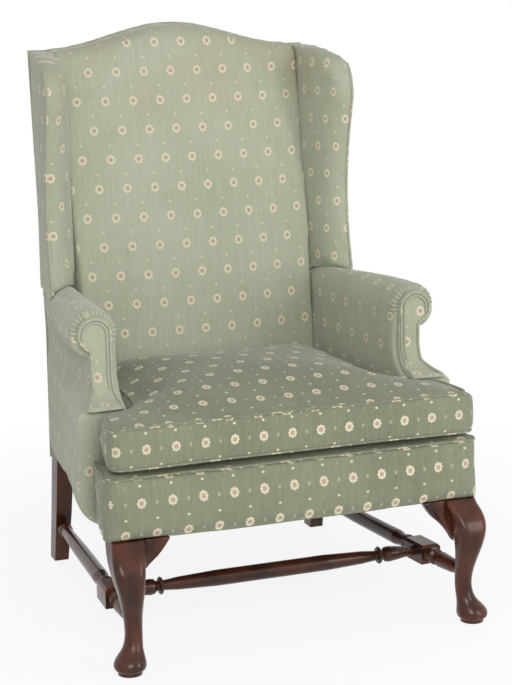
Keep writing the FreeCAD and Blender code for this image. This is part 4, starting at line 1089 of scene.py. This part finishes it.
def make_border_welt(border):
    surface = surface_of(border)
    welt = settings().sewing.welt
    low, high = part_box("front_border_cover")
    level = high.z - 0.004
    points = []
    for number in range(-90, 91):
        turn = math.radians(number)
        start = Vector((0, high.y + 0.02, level)) + Vector((math.sin(turn) * 1.5, -math.cos(turn) * 1.5, 0))
        hit, normal, _, _ = surface.ray_cast(start, Vector((0, high.y + 0.02, level)) - start)
        if hit is not None:
            points.append(hit + normal * welt * 0.3 + Vector((0, 0, welt * 0.6)))
    make_welt("border_welt", [points], "seat", CHAIR)


def make_outer_back():
    """The flat panel behind, with a slight belly and pull marks"""
    low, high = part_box("outer_back_cover")
    columns, rows = 70, 110
    bend_z, lean = 0.500, 0.08 / 0.585
    work = bmesh.new()
    grid = []
    for i in range(columns + 1):
        x = between(low.x, high.x, i / columns)
        top = crest_height(x) if abs(x) < CREST_HALF else SHOULDER_Z
        line = []
        for j in range(rows + 1):
            z = between(low.z, top, j / rows)
            flat = low.y + max(0.0, z - bend_z) * lean
            edge = min(1.0, 6 * min(i, columns - i) / columns) * min(1.0, 6 * min(j, rows - j) / rows)
            belly = 0.003 * edge + 0.0012 * noise.noise(Vector((x * 9, 4.2, z * 6)))
            line.append(work.verts.new((x, flat + 0.002 + belly, z)))
        grid.append(line)
    for a, b in zip(grid, grid[1:]):
        for j in range(rows):
            work.faces.new((a[j], a[j + 1], b[j + 1], b[j]))
    bmesh.ops.recalc_face_normals(work, faces=work.faces)
    mesh = bpy.data.meshes.new("outer_back_panel")
    work.to_mesh(mesh)
    work.free()
    panel = new_object("outer_back_panel", mesh)
    applied(panel, "SOLIDIFY", thickness=0.002, offset=0.0)
    lay_cloth(panel, box_panels(front=BACK_ROSETTE, side=BACK_ROSETTE))
    dress(panel, "back", "damask", CHAIR, "outer_back_cover")
    return panel


def finish_frame():
    """Polish, steel and plain cloth on the nodes of the frame that stay"""
    chosen = {"cross_stretcher": "crosswise", "side_stretcher_left": "lengthwise",
              "side_stretcher_right": "lengthwise"}
    for part in frame["record"]["subparts"]:
        name = part["node"]
        slot = part["material_slot"]
        material = chosen.get(name) or {"mahogany": "upright", "damask": "back"}.get(slot, slot)
        mesh = frame["nodes"][name].data
        mesh.materials.clear()
        mesh.materials.append(MATERIALS[material])


# Stage
def make_camera():
    stage = settings().stage
    turn, tilt = math.radians(stage.azimuth), math.radians(stage.elevation)
    back = Vector((math.sin(turn) * math.cos(tilt), -math.cos(turn) * math.cos(tilt), math.sin(tilt)))
    right = Vector((0, 0, 1)).cross(back).normalized()
    up = back.cross(right)
    axes = Matrix((right, up, back)).transposed() @ Matrix.Rotation(math.radians(stage.roll), 3, "Z")
    camera = bpy.data.cameras.new("camera")
    camera.sensor_width = 36.0
    camera.lens = 96.5
    camera.shift_x = -0.0047
    camera.shift_y = -0.0419
    camera.clip_end = 60.0
    made = bpy.data.objects.new("camera", camera)
    made.matrix_world = Matrix.Translation(Vector(stage.place)) @ axes.to_4x4()
    bpy.context.scene.collection.objects.link(made)
    bpy.context.scene.camera = made


def make_light(name, place, target, wide, tall, power):
    light = bpy.data.lights.new(name, "AREA")
    light.shape = "RECTANGLE"
    light.size, light.size_y, light.energy = wide, tall, power
    made = bpy.data.objects.new(name, light)
    way = Vector(target) - Vector(place)
    turned = way.to_track_quat("-Z", "Y").to_matrix().to_4x4()
    made.matrix_world = Matrix.Translation(Vector(place)) @ turned
    bpy.context.scene.collection.objects.link(made)


def seen_directly(n):
    """1 where the camera, a reflection or a view through glass meets the background"""
    path = n.add("ShaderNodeLightPath").outputs
    seen = n.math("MAXIMUM", path["Is Camera Ray"], path["Is Glossy Ray"])
    return n.math("MAXIMUM", seen, path["Is Transmission Ray"])


def make_world():
    world = bpy.data.worlds.new("studio")
    world.use_nodes = True
    n = Nodes(world.node_tree)
    ground = world.node_tree.nodes["Background"]
    ground.inputs["Color"].default_value = (1, 1, 1, 1)
    n.put(ground.inputs["Strength"], n.math("MULTIPLY_ADD", seen_directly(n), 0.5, 0.5))
    bpy.context.scene.world = world


def make_floor():
    work = bmesh.new()
    bmesh.ops.create_grid(work, x_segments=8, y_segments=8, size=14.0)
    mesh = bpy.data.meshes.new("floor")
    work.to_mesh(mesh)
    work.free()
    floor = new_object("floor", mesh)
    material = bpy.data.materials.new("pale_floor")
    material.use_nodes = True
    n = Nodes(material.node_tree)
    shader = material.node_tree.nodes["Principled BSDF"]
    shader.inputs["Base Color"].default_value = (0.90, 0.90, 0.905, 1)
    shader.inputs["Roughness"].default_value = 0.6
    away = n.add("ShaderNodeVectorMath", operation="LENGTH")
    n.put(away.inputs[0], n.add("ShaderNodeTexCoord").outputs["Object"])
    paper = n.add("ShaderNodeEmission")
    both = n.add("ShaderNodeMixShader")
    fade = n.math("MULTIPLY_ADD", n.step(away.outputs["Value"], 0.6, 1.6), 0.13, 0.87)
    share = n.math("MULTIPLY", fade, seen_directly(n))
    n.fill(both, share, shader.outputs[0], paper.outputs[0])
    n.put(material.node_tree.nodes["Material Output"].inputs["Surface"], both.outputs[0])
    mesh.materials.append(material)


class ChairOperator:
    """What every operator of the armchair shares"""
    bl_options = {"REGISTER", "UNDO"}

    def execute(self, context):
        self.make()
        return {"FINISHED"}


class CHAIR_OT_materials(ChairOperator, bpy.types.Operator):
    """Make the finishes and put them on the frame"""
    bl_idname = "chair.materials"
    bl_label = "Materials"

    def make(self):
        make_materials()
        finish_frame()


class CHAIR_OT_back(ChairOperator, bpy.types.Operator):
    """Make the padded inner back, the panel behind it and the crest's piping"""
    bl_idname = "chair.back"
    bl_label = "Back"

    def make(self):
        back = make_back()
        make_outer_back()
        make_crest_welt(back)


class CHAIR_OT_wings(ChairOperator, bpy.types.Operator):
    """Make both wings and their piping"""
    bl_idname = "chair.wings"
    bl_label = "Wings"

    def make(self):
        make_wing_welts(make_wings())


class CHAIR_OT_arms(ChairOperator, bpy.types.Operator):
    """Make both arms, their facings, pleats and piping"""
    bl_idname = "chair.arms"
    bl_label = "Arms"

    def make(self):
        make_arms()
        make_facings()


class CHAIR_OT_carving(ChairOperator, bpy.types.Operator):
    """Make the carved ears beside the knees"""
    bl_idname = "chair.carving"
    bl_label = "Carving"

    def make(self):
        make_knee_ears()


class CHAIR_OT_seat(ChairOperator, bpy.types.Operator):
    """Make the front border and the seat deck"""
    bl_idname = "chair.seat"
    bl_label = "Seat"

    def make(self):
        make_border_welt(make_border())
        make_deck()


class CHAIR_OT_cushion(ChairOperator, bpy.types.Operator):
    """Make the loose cushion and its piping"""
    bl_idname = "chair.cushion"
    bl_label = "Loose cushion"

    def make(self):
        make_cushion_welts(make_cushion())


class CHAIR_OT_stage(ChairOperator, bpy.types.Operator):
    """Make the camera, the floor and the light"""
    bl_idname = "chair.stage"
    bl_label = "Stage"

    def make(self):
        stage = settings().stage
        make_camera()
        make_world()
        make_floor()
        make_light("key", (-0.9, -3.3, 2.3), (0, 0, 0.6), 1.8, 1.8, stage.key)
        make_light("fill", (2.2, -3.0, 1.5), (0, 0, 0.6), 0.9, 2.2, stage.fill)
        bpy.context.scene.view_settings.view_transform = "Standard"


OPERATORS = [CHAIR_OT_materials, CHAIR_OT_back, CHAIR_OT_wings, CHAIR_OT_arms, CHAIR_OT_carving,
             CHAIR_OT_seat, CHAIR_OT_cushion, CHAIR_OT_stage]


class CHAIR_PT_panel(bpy.types.Panel):
    """Lists the steps and the settings"""
    bl_label = "Wingback Armchair"
    bl_space_type = "VIEW_3D"
    bl_region_type = "UI"
    bl_category = "Armchair"

    def draw(self, context):
        for operator in OPERATORS:
            self.layout.operator(operator.bl_idname)
        for group in (settings().cloth, settings().wood, settings().sewing, settings().stage):
            column = self.layout.box().column()
            for name in type(group).__annotations__:
                column.prop(group, name)


CLASSES = [ClothSettings, WoodSettings, SewingSettings, StageSettings, ChairSettings, *OPERATORS,
           CHAIR_PT_panel]


def register():
    for item in CLASSES:
        bpy.utils.register_class(item)
    bpy.types.Scene.armchair = bpy.props.PointerProperty(type=ChairSettings)


def unregister():
    del bpy.types.Scene.armchair
    for item in reversed(CLASSES):
        bpy.utils.unregister_class(item)


def main():
    register()
    for operator in OPERATORS:
        group, name = operator.bl_idname.split(".")
        getattr(getattr(bpy.ops, group), name)()


if __name__ == "__main__":
    main()
